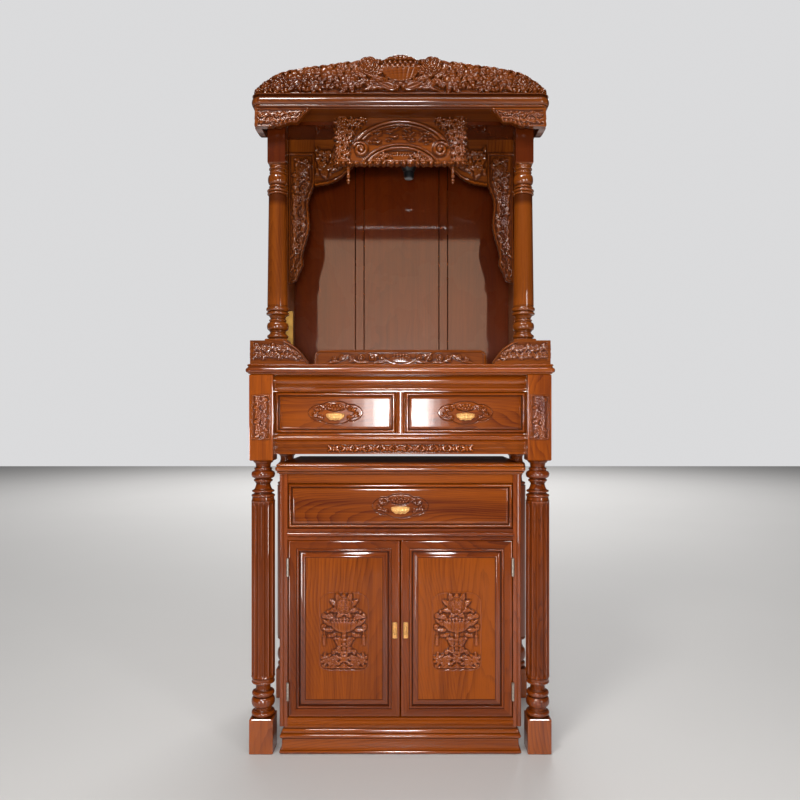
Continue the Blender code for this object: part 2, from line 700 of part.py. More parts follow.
def make_boards_of_corner(kind, side, material):
    """A carved board that turns the corner: the bracket under the cornice or the fence on the table."""
    if kind == "bracket":
        reach, side_reach, height, depth = BRACKET_REACH, BRACKET_SIDE_REACH, BRACKET_HEIGHT, BRACKET_THICKNESS
        corner = (BRACKET_HALF, FRONT + BRACKET_SETBACK)
        fixed = CORNICE_LOW - FIT
        outlines = (BRACKET_SIDE_OUTLINE, BRACKET_OUTLINE)
    else:
        reach, side_reach, height, depth = FENCE_REACH, FENCE_REACH, FENCE_HEIGHT, FENCE_THICKNESS
        corner = (FENCE_HALF, FRONT + FENCE_SETBACK)
        fixed = TABLE_HEIGHT + FIT
        outlines = (FENCE_OUTLINE, FENCE_OUTLINE)

    def extent(station):
        if station < 0:
            return height * between(outlines[0], -station / side_reach)
        return height * between(outlines[1], station / reach)

    def low_edge(station):
        return fixed - extent(station) if kind == "bracket" else fixed

    def high_edge(station):
        return fixed if kind == "bracket" else fixed + extent(station)

    def relief(station, z, low, high):
        length = side_reach if station < 0 else reach
        share, level = abs(station) / length, (z - low) / (high - low)
        if share < 0.08 or share > 0.97 or not 0.05 < level < 0.95:
            return 0.0
        middle = (low + high) / 2
        return CARVING * leaf_run(abs(station), z, 0.15 * length, 0.14 * length, 6, middle, 0.085 * length, 0.32 * (high - low))

    clear = 1.25 * depth
    stations = even(-side_reach, -clear, 8) + [0.0] + even(clear, reach, 14)
    word = "left" if side < 0 else "right"
    carved_board(
        kind + "_" + word, stations, 3, low_edge, high_edge, cornered(*corner, side), depth, relief, material)


def make_crest(material):
    """The carved crest on the cornice: a lotus in the middle, a peony each side, then leaves."""
    half = CORNICE_HALF - CREST_INSET
    base = CORNICE_TOP + FIT

    def high_edge(x):
        return base + CREST_HEIGHT * between(CREST_OUTLINE, abs(x) / half)

    def relief(x, z, low, high):
        if z <= low or z >= high - 0.001:
            return 0.0
        x = abs(x)
        tall = CREST_HEIGHT
        height = dome(x, z, 0.0, base + 0.52 * tall, 0.148 * half, 0.39 * tall)
        height = max(height, lotus(x, z, 0.0, base + 0.65 * tall, 0.2 * half, 0.31 * tall))
        height = max(height, blossom(x, z, 0.21 * half, base + 0.72 * tall, 0.27 * tall, 5))
        height = max(height, dome(x, z, 0.13 * half, base + 0.19 * tall, 0.1 * half, 0.09 * tall, -0.25))
        middle = base + 0.36 * (high - low) + 0.07 * tall
        leaves = leaf_run(x, z, 0.32 * half, 0.086 * half, 8, middle, 0.055 * half, 0.14 * tall)
        height = max(height, 0.9 * leaves)
        return CARVING * max(0.25, height)

    carved_board(
        "crest", even(-half, half, 50), 5, lambda x: base, high_edge, straight(FRONT + CREST_SETBACK + CARVING),
        CREST_THICKNESS, relief, material)


def make_plaque(material):
    """The name plaque: an oval arch that ends in volutes, leaf work at its ends and shallow strokes."""
    half = PLAQUE_WIDTH / 2
    low = CORNICE_LOW - FIT - PLAQUE_HEIGHT
    high = CORNICE_LOW - FIT
    oval_x, oval_z, oval_height = 0.150, low + 0.026, 0.108

    def low_edge(x):
        return low + 0.003 * math.cos(x * math.pi / 0.0165) ** 2 if abs(x) < 0.98 * half else low

    def relief(x, z, bottom, top):
        if abs(x) > 0.98 * half or z > high - 0.006:
            return 0.0
        arch = math.hypot(x / oval_x, max(z - oval_z, 0.0) / oval_height)
        rim = max(0.0, 1 - abs(arch - 0.93) / 0.085)
        ribbon = math.hypot(x / 0.125, (z - low + 0.028) / 0.084)
        height = rim
        if arch < 0.86 and ribbon > 1.08:
            strokes = math.cos(z * 420) * math.cos(x * 330)
            height = 0.35 + (0.25 if strokes > 0.45 else 0.0)
        elif arch >= 1.0:
            height = max(rim, 0.8 * leaf_run(z, abs(x), low + 0.012, 0.018, 7, 0.176, 0.014, 0.014))
        height = max(height, 1 - abs(ribbon - 1.0) / 0.08 if abs(x) < 0.11 and z > low + 0.012 else 0.0)
        height = max(height, lotus(x, z, 0.0, low + 0.010, 0.075, 0.034) if ribbon < 1 else 0.0)
        height = max(height, dome(abs(x), z, 0.120, low + 0.046, 0.024, 0.024))
        return CARVING * height

    carved_board(
        "plaque", even(-half, half, 38), 6, low_edge, lambda x: high, straight(FRONT + PLAQUE_SETBACK),
        PLAQUE_THICKNESS, relief, material)


def make_niche(lacquer, dark, metal, pale):
    """Walls, ceiling, carved side boards and arch of the niche, and what hangs and stands in it."""
    floor = TABLE_HEIGHT + FIT
    roof = CEILING_LOW - FIT
    outer = NICHE_HALF + WALL_THICKNESS
    rear = NICHE_BACK + WALL_THICKNESS
    strip = NICHE_HALF - STRIP
    for side, word in ((-1, "left"), (1, "right")):
        plan = ((outer, WALL_FRONT), (outer, rear), (NICHE_HALF, rear), (NICHE_HALF, WALL_FRONT + STRIP))
        plan += ((strip, WALL_FRONT + STRIP), (strip, WALL_FRONT))
        plan_board("side_wall_" + word, [(side * x, y) for x, y in plan], floor, roof, lacquer)
    plan = [(-NICHE_HALF + FIT, rear), (-NICHE_HALF + FIT, NICHE_BACK)]
    for x in (-STILE_OFFSET - STILE_WIDTH, -STILE_OFFSET, STILE_OFFSET, STILE_OFFSET + STILE_WIDTH):
        plan += [(x - STILE_GROOVE / 2, NICHE_BACK), (x, NICHE_BACK + STILE_GROOVE), (x + STILE_GROOVE / 2, NICHE_BACK)]
    plan += [(NICHE_HALF - FIT, NICHE_BACK), (NICHE_HALF - FIT, rear)]
    plan_board("back_wall", plan, floor, roof, dark)
    ceiling_front = COLUMN_Y + COLUMN_BLOCK / 2 + FIT
    block("ceiling", (-outer, ceiling_front, CEILING_LOW), (outer, rear, CORNICE_LOW - FIT), dark)

    board_y = WALL_FRONT
    board_outer = strip - FIT
    drop = CARVED_DROP

    def side_relief(z, x, low, high):
        border = 0.06 * CARVED_WIDTH
        if z > roof - 0.095 * drop or x > high - border or x < low + border:
            return 0.0
        wander = (low + high) / 2
        start = roof - 0.955 * drop
        leaves = leaf_run(z, x, start, 0.08 * drop, 11, wander, 0.047 * drop, 0.3 * (high - low))
        return 0.8 * CARVING * leaves

    for side, word in ((-1, "left"), (1, "right")):
        def place(z, x, depth, side=side):
            return (side * x, board_y + CARVING + depth, z)

        carved_board(
            "side_board_" + word, even(roof - drop, roof, 24), 3,
            lambda z: board_outer - CARVED_WIDTH * between(CARVED_OUTLINE, (roof - z) / drop),
            lambda z: board_outer, place, CARVED_THICKNESS, side_relief, lacquer)
    arch_half = board_outer - CARVED_WIDTH - FIT

    def arch_relief(x, z, low, high):
        if z > roof - 0.08 * ARCH_DROP or z < low + 0.03 * ARCH_DROP or abs(x) > 0.98 * arch_half:
            return 0.0
        leaf = 0.074 * arch_half
        leaves = leaf_run(abs(x), z, leaf, 0.125 * arch_half, 8, (low + high) / 2, leaf, 0.14 * ARCH_DROP)
        return 0.8 * CARVING * leaves

    carved_board(
        "arch_apron", even(-arch_half, arch_half, 26), 3,
        lambda x: roof - ARCH_DROP * between(ARCH_OUTLINE, abs(x) / arch_half), lambda x: roof,
        straight(board_y + CARVING), CARVED_THICKNESS, arch_relief, lacquer)
    lamp_top = roof + FIT
    rings = [(roof, LAMP_RADIUS), (lamp_top - 0.6 * LAMP_LENGTH, LAMP_RADIUS)]
    rings += [(lamp_top - 0.8 * LAMP_LENGTH, 0.7 * LAMP_RADIUS), (lamp_top - LAMP_LENGTH, 0.66 * LAMP_RADIUS)]
    rings = [(z, size, "round") for z, size in reversed(rings)]
    turned("lamp_fitting", (LAMP_OFFSET, FRONT + LAMP_SETBACK), rings, 12, metal)
    batten_x = -NICHE_HALF + STRIP - 0.005
    batten_y = WALL_FRONT - FIT
    low = (batten_x, batten_y - BATTEN_THICKNESS, floor)
    block("pale_batten", low, (batten_x + BATTEN_WIDTH, batten_y, floor + BATTEN_HEIGHT), pale, 0.001)


def make_shrine(lacquer, dark, metal, pale):
    """Everything that stands on the table."""
    floor = TABLE_HEIGHT + FIT
    top = CORNICE_LOW - FIT
    for side, word in ((-1, "left"), (1, "right")):
        base_top = floor + COLUMN_BASE_HEIGHT
        block_low = top - COLUMN_BLOCK_HEIGHT
        rings = [(floor, COLUMN_BASE / 2, "square"), (base_top, COLUMN_BASE / 2, "square")]
        rings += [(base_top + height, size, kind) for height, size, kind in COLUMN_LOWER]
        rings.append((rings[-1][0] + 0.003, COLUMN_RADIUS_LOW, "round"))
        rings.append((block_low - COLUMN_UPPER[0][0] - 0.003, COLUMN_RADIUS_HIGH, "round"))
        rings += [(block_low - drop, size, kind) for drop, size, kind in COLUMN_UPPER]
        rings += [(block_low + 0.008, COLUMN_BLOCK / 2, "square"), (top, COLUMN_BLOCK / 2, "square")]
        turned("column_" + word, (side * COLUMN_X, COLUMN_Y), rings, 12, lacquer)
        make_boards_of_corner("bracket", side, lacquer)
        make_boards_of_corner("fence", side, lacquer)
        pendant_top = CORNICE_LOW - 2 * FIT - PLAQUE_HEIGHT
        pendant_low = pendant_top - PENDANT_LENGTH
        shape = ((0.0, 0.3), (0.15, 0.9), (0.3, 0.45), (0.5, 0.85), (0.65, 0.45), (0.82, 0.9), (1.0, 0.7))
        rings = [(pendant_low + PENDANT_LENGTH * share, PENDANT_RADIUS * size, "round") for share, size in shape]
        pendant_y = FRONT + PLAQUE_SETBACK + PLAQUE_THICKNESS / 2
        turned("pendant_" + word, (side * PENDANT_OFFSET, pendant_y), rings, 8, lacquer)
    half = CORNICE_HALF
    face = FRONT + CORNICE_SETBACK
    steps = [(CORNICE_LOW, 0.012), (CORNICE_LOW + 0.003, 0.010), (CORNICE_LOW + 0.009, 0.008)]
    steps += [(CORNICE_LOW + 0.012, 0.004), (CORNICE_LOW + 0.022, 0.001), (CORNICE_LOW + 0.031, 0.0)]
    steps += [(CORNICE_TOP - 0.004, 0.002), (CORNICE_TOP, 0.006)]
    slab("cornice", (-half, face), (half, -face), steps, 0.030, lacquer)
    make_crest(lacquer)
    make_plaque(lacquer)
    make_niche(lacquer, dark, metal, pale)
    reach = FENCE_HALF - FENCE_REACH - FENCE_CENTRE_GAP

    def fence_high(x):
        share = abs(x) / reach
        return floor + FENCE_CENTRE_HEIGHT * (1.0 if share < 0.9 else 1.0 - 5.5 * (share - 0.9))

    def fence_relief(x, z, low, high):
        if z <= low or z >= high:
            return 0.0
        tall = FENCE_CENTRE_HEIGHT
        height = lotus(x, z, 0.0, floor + 0.18 * tall, 0.24 * reach, 0.7 * tall)
        run = leaf_run(abs(x), z, 0.22 * reach, 0.11 * reach, 7, floor + 0.5 * tall, 0.07 * reach, 0.25 * tall)
        return 0.7 * CARVING * max(height, run)

    carved_board(
        "fence_centre", even(-reach, reach, 28), 3, lambda x: floor, fence_high,
        straight(FRONT + FENCE_CENTRE_SETBACK), FENCE_THICKNESS, fence_relief, lacquer)


def hollow_slab(name, low, high, steps, corner, wall, material, corner_steps=2):
    """A frame of boards whose outside is a moulding and whose middle is open from top to bottom."""
    bm = bmesh.new()

    def ring(z, inset, radius):
        verts = []
        for quarter, (sign_x, sign_y) in enumerate(((1, 1), (-1, 1), (-1, -1), (1, -1))):
            x = (high[0] if sign_x > 0 else low[0]) - sign_x * (inset + radius)
            y = (high[1] if sign_y > 0 else low[1]) - sign_y * (inset + radius)
            for px, py in arc((x, y), radius, 90 * quarter, 90 * quarter + 90, corner_steps):
                verts.append(bm.verts.new((px, py, z)))
        return verts

    rings = [ring(z, inset, max(corner - inset, 0.001)) for z, inset in steps]
    rings.append(ring(steps[-1][0], wall, 0.001))
    rings.append(ring(steps[0][0], wall, 0.001))
    for lower, upper in zip(rings, rings[1:] + rings[:1]):
        for index in range(len(lower)):
            following = (index + 1) % len(lower)
            bm.faces.new((lower[index], lower[following], upper[following], upper[index]))
    return finish(bm, name, material)


def door_relief(x, z, middle_x, middle_z):
    """Carving of a door: a lotus bowl on a foot, with tassels and scrolls, in an arched frame."""
    half_x, half_z = DOOR_CARTOUCHE
    dx, dz = abs(x - middle_x), z - middle_z
    arch = (dx / half_x) ** 3 + (max(dz, -0.2 * half_z) / half_z) ** 4
    if arch >= 1:
        return 0.0
    height = 0.45 * max(0.0, 1 - abs(arch - 0.85) / 0.14)
    height = max(height, dome(dx, dz, 0.0, 0.020, 0.052, 0.026))
    height = max(height, lotus(dx, dz, 0.0, 0.026, 0.10, 0.060))
    height = max(height, 0.8 * dome(dx, dz, 0.0, -0.040, 0.012, 0.050))
    height = max(height, 0.8 * dome(dx, dz, 0.046, -0.020, 0.008, 0.034))
    height = max(height, 0.8 * dome(dx, dz, 0.034, -0.076, 0.026, 0.013, 0.4))
    height = max(height, 0.9 * dome(dx, dz, 0.0, -0.098, 0.058, 0.012))
    return CARVING * height


def make_door(side, lacquer, brass, metal):
    """A framed door with a raised and carved panel, its pull and the two hinges it turns on."""
    word = "left" if side < 0 else "right"
    outer, inner = CABINET_INNER - PLAY, DOOR_MEETING / 2
    x_low, x_high = (-outer, -inner) if side < 0 else (inner, outer)
    z_low, z_high = DOOR_LOW + PLAY, DOOR_TOP - PLAY
    middle_x, middle_z = (x_low + x_high) / 2, (z_low + z_high) / 2 - DOOR_CARTOUCHE_DROP
    face_y = CABINET_FRONT + DOOR_SETBACK
    rings = []
    frame_end = DOOR_FRAME + DOOR_MOULDING
    for inset, rise in ((0.0, 0.0), (DOOR_FRAME, 0.0), (DOOR_FRAME + 0.004, -DOOR_RECESS),
                        (frame_end, -DOOR_RECESS), (frame_end + 0.010, -0.001)):
        rings.append((x_low + inset, x_high - inset, z_low + inset, z_high - inset, rise))
    half_x, half_z = DOOR_CARTOUCHE
    rings.append((middle_x - half_x, middle_x + half_x, middle_z - half_z, middle_z + half_z, -0.001))
    door = panel_front(
        "door_" + word, rings, 10, 13, face_y, DOOR_THICKNESS,
        lambda x, z: door_relief(x, z, middle_x, middle_z), lacquer)
    axis = (side * outer, CABINET_FRONT - HINGE_RADIUS - FIT, (z_low + z_high) / 2)
    place_moving(door, axis)
    pull_x = side * (inner + DOOR_PULL_INSET)
    pull_z = DOOR_LOW + DOOR_PULL_RISE
    plate = oval_plate(
        "door_pull_" + word, (pull_x, pull_z), DOOR_PULL_WIDTH, DOOR_PULL_HEIGHT, DOOR_PULL_THICKNESS,
        face_y - FIT, brass)
    place_moving(plate, (pull_x, face_y - FIT, pull_z), door)
    for level, place_z in (("lower", z_low + HINGE_INSET), ("upper", z_high - HINGE_INSET)):
        low_z, high_z = place_z - HINGE_HEIGHT / 2, place_z + HINGE_HEIGHT / 2
        rings = [(low_z, 0.6 * HINGE_RADIUS, "round"), (low_z + 0.002, HINGE_RADIUS, "round")]
        rings += [(high_z - 0.002, HINGE_RADIUS, "round"), (high_z, 0.6 * HINGE_RADIUS, "round")]
        turned("hinge_" + level + "_" + word, axis[:2], rings, 8, metal)


def make_cabinet(lacquer, dark, brass, metal):
    """The low cabinet that stands between the table's legs."""
    half, inner = CABINET_HALF, CABINET_INNER - FIT
    floor = PLINTH_HEIGHT + FIT
    roof = CABINET_CARCASS - FIT
    reach = half + CABINET_TOP_OVERHANG
    front = CABINET_FRONT - CABINET_TOP_OVERHANG
    steps = [(CABINET_CARCASS, 0.010), (CABINET_CARCASS + 0.006, 0.006)]
    middle = CABINET_CARCASS + CABINET_TOP_THICKNESS / 2
    steps += [(middle - 0.003, 0.001), (middle + 0.004, 0.0), (CABINET_HEIGHT - 0.004, 0.003), (CABINET_HEIGHT, 0.008)]
    slab("cabinet_top", (-reach, front), (reach, CABINET_REAR), steps, 0.012, lacquer)
    for side, word in ((-1, "left"), (1, "right")):
        edges = sorted((side * half, side * CABINET_INNER))
        low, high = (edges[0], CABINET_FRONT, floor), (edges[1], CABINET_REAR, roof)
        block("cabinet_side_" + word, low, high, lacquer, 0.002)
    rail_back = CABINET_FRONT + RAIL_DEPTH
    back_low = CABINET_REAR - CABINET_BACK_THICKNESS
    low = (-inner, CABINET_FRONT, CABINET_DRAWER_TOP)
    block("cabinet_rail_top", low, (inner, rail_back, roof), lacquer, 0.002)
    middle = (DOOR_TOP + CABINET_DRAWER_LOW) / 2
    profile = [(rail_back, DOOR_TOP), (rail_back, CABINET_DRAWER_LOW), (CABINET_FRONT, CABINET_DRAWER_LOW)]
    profile += arc((CABINET_FRONT, middle), 0.006, 90, 270, 5) + [(CABINET_FRONT, DOOR_TOP)]
    moulding("cabinet_rail_middle", profile, -inner, inner, lacquer)
    low = (-inner, rail_back + FIT, CABINET_DRAWER_LOW - BOARD_THICKNESS)
    block("cabinet_shelf", low, (inner, back_low - FIT, CABINET_DRAWER_LOW), dark)
    block("cabinet_back", (-inner, back_low, floor), (inner, CABINET_REAR, roof), dark)
    middle = (floor + DOOR_LOW) / 2
    rear = back_low - FIT
    profile = [(rear, floor), (rear, DOOR_LOW), (CABINET_FRONT, DOOR_LOW)]
    profile += arc((CABINET_FRONT, middle), 0.006, 90, 270, 5) + [(CABINET_FRONT, floor)]
    moulding("cabinet_bottom", profile, -inner, inner, lacquer)
    steps = [(0.0, 0.0), (0.030, 0.0), (0.042, 0.004), (0.056, 0.010), (0.066, 0.007), (PLINTH_HEIGHT, 0.007)]
    hollow_slab(
        "cabinet_plinth", (-half, CABINET_FRONT - 0.006), (half, CABINET_REAR), steps, 0.006, PLINTH_THICKNESS,
        lacquer)
    reach = CABINET_INNER - PLAY
    drawer_front = CABINET_FRONT + DOOR_SETBACK
    depth = back_low - CABINET_DRAWER_BACK_GAP - drawer_front
    make_drawer(
        "cabinet_drawer", (-reach, CABINET_DRAWER_LOW + PLAY), (reach, CABINET_DRAWER_TOP - PLAY),
        depth, drawer_front, CABINET_CARTOUCHE, lacquer, brass)
    for side in (-1, 1):
        make_door(side, lacquer, brass, metal)


def main():
    for old in list(bpy.context.scene.objects):
        bpy.data.objects.remove(old, do_unlink=True)
    lacquer = make_material("red_brown_lacquer", (0.23, 0.055, 0.012), 0.25)
    dark = make_material("dark_lacquer", (0.08, 0.012, 0.004), 0.2)
    brass = make_material("pale_brass", (0.72, 0.55, 0.30), 0.35, 0.9)
    metal = make_material("dark_metal", (0.03, 0.03, 0.03), 0.4, 0.6)
    pale = make_material("bare_wood", (0.75, 0.52, 0.22), 0.6)
    make_table(lacquer)
    make_table_drawers(lacquer, brass)
    make_shrine(lacquer, dark, metal, pale)
    make_cabinet(lacquer, dark, brass, metal)


main()
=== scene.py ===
"""Looks of a carved household altar cabinet: lacquered wood, carving, metal fittings, stage and camera."""

import json
import math

import bpy
import numpy as np
from bpy.props import FloatProperty, FloatVectorProperty, IntProperty, PointerProperty
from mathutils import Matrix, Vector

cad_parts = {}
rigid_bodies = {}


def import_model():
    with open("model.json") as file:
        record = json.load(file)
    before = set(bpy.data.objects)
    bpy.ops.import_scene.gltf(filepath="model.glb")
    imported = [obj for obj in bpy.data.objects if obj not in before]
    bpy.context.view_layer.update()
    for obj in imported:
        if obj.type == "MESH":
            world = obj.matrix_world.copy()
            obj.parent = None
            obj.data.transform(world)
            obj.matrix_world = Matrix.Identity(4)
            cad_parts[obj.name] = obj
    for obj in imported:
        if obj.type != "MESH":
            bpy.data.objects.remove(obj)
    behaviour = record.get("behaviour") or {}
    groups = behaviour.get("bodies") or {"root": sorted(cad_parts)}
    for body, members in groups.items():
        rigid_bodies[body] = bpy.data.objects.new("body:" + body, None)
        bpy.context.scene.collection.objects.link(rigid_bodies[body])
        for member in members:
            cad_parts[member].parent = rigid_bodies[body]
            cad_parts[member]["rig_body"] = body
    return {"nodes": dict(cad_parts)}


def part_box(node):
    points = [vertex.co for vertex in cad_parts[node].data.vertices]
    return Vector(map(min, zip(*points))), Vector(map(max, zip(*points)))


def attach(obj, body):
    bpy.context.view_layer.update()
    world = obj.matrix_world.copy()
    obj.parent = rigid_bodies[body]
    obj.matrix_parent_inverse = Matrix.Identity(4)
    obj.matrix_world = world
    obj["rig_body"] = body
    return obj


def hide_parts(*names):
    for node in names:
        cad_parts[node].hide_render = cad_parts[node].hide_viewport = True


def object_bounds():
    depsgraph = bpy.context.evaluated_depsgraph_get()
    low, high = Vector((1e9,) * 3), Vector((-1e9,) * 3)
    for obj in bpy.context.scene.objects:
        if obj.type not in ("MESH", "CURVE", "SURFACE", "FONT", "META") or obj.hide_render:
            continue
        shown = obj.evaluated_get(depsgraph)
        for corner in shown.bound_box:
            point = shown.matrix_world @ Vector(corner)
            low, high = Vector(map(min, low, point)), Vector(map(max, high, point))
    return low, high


bl_info = {
    "name": "Household Altar Cabinet",
    "version": (1, 0, 0),
    "blender": (4, 5, 0),
    "location": "View3D > Sidebar > Altar",
    "description": "Carving, lacquer and fittings of a household altar cabinet",
    "category": "Object",
}

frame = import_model()
NODES = frame["nodes"]
CAD_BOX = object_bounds()

# Values that several steps share: lengths in metres, angles in degrees
MM = 0.001
MERGE_DISTANCE = 1e-6
FLAT_MARGIN = 0.0012
CARVED_BOARD_BODY = 0.012
FOOT_GAP = 0.0002
HEAD_GAP = 0.0003
LEG_FOOT = 0.099
LEG_BLOCK = 0.245
MOULDED_ANGLE = 32.0
TURNED_ANGLE = 40.0
CARVED_ANGLE = 48.0

# How strongly hollows and edges are marked for the painted shade and the painted highlight, and over how many
# points of a carving
TURNED_GAIN = 0.34
CARVED_GAIN = 1.1
MARK_REACH = 5

# The lacquer: its coat's weight on plain boards and in the niche, and the clear layer's own values
PLAIN_COAT = 0.2
NICHE_COAT = 0.52
COAT_ROUGHNESS = 0.045
COAT_IOR = 1.75
WOOD_SHINE = 0.06


# Sizes and colours that a user would change

def colour(name, description, default):
    """A colour setting, given as the 0-1 linear values that the shader uses."""
    return FloatVectorProperty(
        name=name, description=description, default=default, subtype="COLOR", min=0.0, max=1.0)


def length(name, description, default):
    """A length setting in metres."""
    return FloatProperty(
        name=name, description=description, default=default, min=0.0, unit="LENGTH", precision=4)


def share(name, description, default):
    """A setting from 0 to 1."""
    return FloatProperty(
        name=name, description=description, default=default, min=0.0, max=1.0, subtype="FACTOR")


class AltarFinish(bpy.types.PropertyGroup):
    """Colours and gloss of the wood and the fittings."""

    table_light: colour("Table, light grain", "Light grain of table and cabinet", (0.262, 0.054, 0.0016))
    table_dark: colour("Table, dark grain", "Dark grain of table and cabinet", (0.074, 0.0083, 0.0006))
    frame_light: colour(
        "Frames, light grain", "Light grain of door frames, legs and rails", (0.19, 0.034, 0.0018))
    frame_dark: colour(
        "Frames, dark grain", "Dark grain of door frames, legs and rails", (0.05, 0.006, 0.0007))
    shrine_light: colour("Shrine, light grain", "Light grain of the shrine", (0.19, 0.043, 0.0034))
    shrine_dark: colour("Shrine, dark grain", "Dark grain of the shrine", (0.056, 0.008, 0.001))
    # The niche's grain colours are toned down as painted shade of the niche; the column heads take them as
    # painted shade too
    niche_light: colour("Niche, light grain", "Light grain of the niche, toned down as painted shade", (0.084, 0.013, 0.0014))
    niche_dark: colour("Niche, dark grain", "Dark grain of the niche, toned down as painted shade", (0.048, 0.0058, 0.0009))
    # Colour of the painted shade in the carving's hollows
    hollow: colour("Glaze in hollows", "Dark glaze left in the carving", (0.04, 0.007, 0.0016))
    pull: colour("Pulls", "Gilt of the pulls", (0.8, 0.43, 0.14))
    hinge: colour("Hinges", "Dull pale metal of the hinges", (0.56, 0.5, 0.43))
    fitting: colour("Lamp fitting", "Black plastic of the lamp fitting", (0.008, 0.008, 0.009))
    drawer_inside: colour("Drawer inside", "Bare pale wood of the drawers' trays", (0.47, 0.29, 0.135))
    batten: colour("Bare batten", "Unlacquered yellow wood", (0.66, 0.36, 0.085))
    gloss: share("Gloss", "Strength of the clear lacquer", 1.0)
    # How strong the painted shade in the hollows is
    hollow_share: share("Glaze strength", "How dark the hollows of the carving are", 0.8)


class AltarCarving(bpy.types.PropertyGroup):
    """Depth and fineness of the carving."""

    crest_depth: length("Crest relief", "Height of the crest's carving over its ground", 0.013)
    plaque_depth: length("Plaque relief", "Height of the plaque's carving", 0.011)
    board_depth: length("Board relief", "Height of the carving on boards, arch, brackets and fences", 0.0075)
    panel_depth: length("Panel relief", "Height of the carving on drawers, doors and legs", 0.0058)
    grid: length("Fineness", "Distance between the points of a carved face", 0.00125)
    flutes: IntProperty(name="Flutes", description="Flutes around a front leg", default=14, min=4)
    flute_depth: length("Flute depth", "Depth of a flute", 0.0042)


class AltarStage(bpy.types.PropertyGroup):
    """Camera, floor and lights."""

    lens: FloatProperty(name="Lens", description="Focal length", default=31.06, min=10.0, unit="CAMERA")
    distance: length("Camera distance", "From the front edge of the table to the camera", 1.95)
    eye: length("Camera height", "Height of the camera over the floor", 0.949)
    aside: FloatProperty(
        name="Camera aside", description="Camera's place to the right", default=0.019, unit="LENGTH")
    floor: colour("Floor", "Pale floor", (0.58, 0.57, 0.56))
    sky: colour("Surround", "Light that comes from all round", (0.82, 0.82, 0.83))
    sky_strength: FloatProperty(
        name="Surround strength", description="Strength of that light", default=0.2, min=0.0)
    key_power: FloatProperty(
        name="Key light", description="Power of the high front light", default=46.0, min=0.0)
    fill_power: FloatProperty(
        name="Fill light", description="Power of the light at the right", default=18.0, min=0.0)
    window_power: FloatProperty(
        name="Window", description="Power of the light that the drawers mirror", default=33.0, min=0.0)


def finish_settings():
    """The finish that the scene holds."""
    return bpy.context.scene.altar_finish


def carving_settings():
    """The carving sizes that the scene holds."""
    return bpy.context.scene.altar_carving


# Making meshes

def clear_selection():
    """Leaves object mode as the mode and nothing selected."""
    if bpy.context.mode != "OBJECT":
        bpy.ops.object.mode_set(mode="OBJECT")
    bpy.ops.object.select_all(action="DESELECT")


def pick(*pieces):
    """Selects the pieces alone, the first one active."""
    clear_selection()
    for piece in pieces:
        piece.select_set(True)
    bpy.context.view_layer.objects.active = pieces[0]


def box(node):
    """Lowest and highest corner of a CAD node."""
    low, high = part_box(node)
    return np.array(low), np.array(high)


def grid_of(name, points):
    """A grid primitive whose vertices take the given places, an array of rows by columns by three."""
    rows, columns = points.shape[:2]
    clear_selection()
    bpy.ops.mesh.primitive_grid_add(x_subdivisions=columns - 1, y_subdivisions=rows - 1, size=1.0)
    piece = bpy.context.object
    piece.name = name
    piece.data.name = name
    piece.data.vertices.foreach_set("co", np.ascontiguousarray(points, dtype=np.float32).ravel())
    piece.data.update()
    return piece


def shade(piece, angle=MOULDED_ANGLE):
    """Smooth shading with edges kept sharp past the angle, in degrees."""
    pick(piece)
    bpy.ops.object.shade_smooth_by_angle(angle=math.radians(angle))


def close_up(piece):
    """In edit mode: merges a seam, fills the open ends and turns all faces outwards."""
    pick(piece)
    bpy.ops.object.mode_set(mode="EDIT")
    bpy.ops.mesh.select_mode(type="VERT")
    bpy.ops.mesh.select_all(action="SELECT")
    bpy.ops.mesh.remove_doubles(threshold=MERGE_DISTANCE)
    bpy.ops.mesh.select_all(action="DESELECT")
    bpy.ops.mesh.select_non_manifold()
    bpy.ops.mesh.fill_holes(sides=0)
    bpy.ops.mesh.select_all(action="SELECT")
    bpy.ops.mesh.normals_make_consistent(inside=False)
    bpy.ops.object.mode_set(mode="OBJECT")


def read_vectors(items, key):
    """The places or directions that a mesh's points hold, one to a row."""
    values = np.empty(len(items) * 3, np.float32)
    items.foreach_get(key, values)
    return values.reshape(-1, 3)


def write_marks(mesh, marks):
    """Stores how hollow (below 0.5) or raised (above 0.5) each point is, which places the painted shade and
    the painted highlight.
    """
    mesh.attributes.new("carving", "FLOAT", "POINT").data.foreach_set(
        "value", marks.astype(np.float32).ravel())


def loft(name, rings, angle=MOULDED_ANGLE, hoop=False, sides=None):
    """A closed skin over rings of equal count. A hoop joins its last ring to its first. Sides are the
    material indices of the faces around a ring."""
    rings = np.asarray(rings, dtype=float)
    if hoop:
        rings = np.concatenate([rings, rings[:1]], axis=0)
    closed = np.concatenate([rings, rings[:, :1]], axis=1)
    piece = grid_of(name, closed)
    if sides is not None:
        for _ in range(max(sides) + 1):
            piece.data.materials.append(None)
        piece.data.polygons.foreach_set("material_index", np.tile(sides, len(rings) - 1).astype(np.int32))
    close_up(piece)
    if sides is not None and not hoop:
        for cap in piece.data.polygons[-2:]:
            cap.material_index = 0
    mark_hollows(piece)
    shade(piece, angle)
    return piece


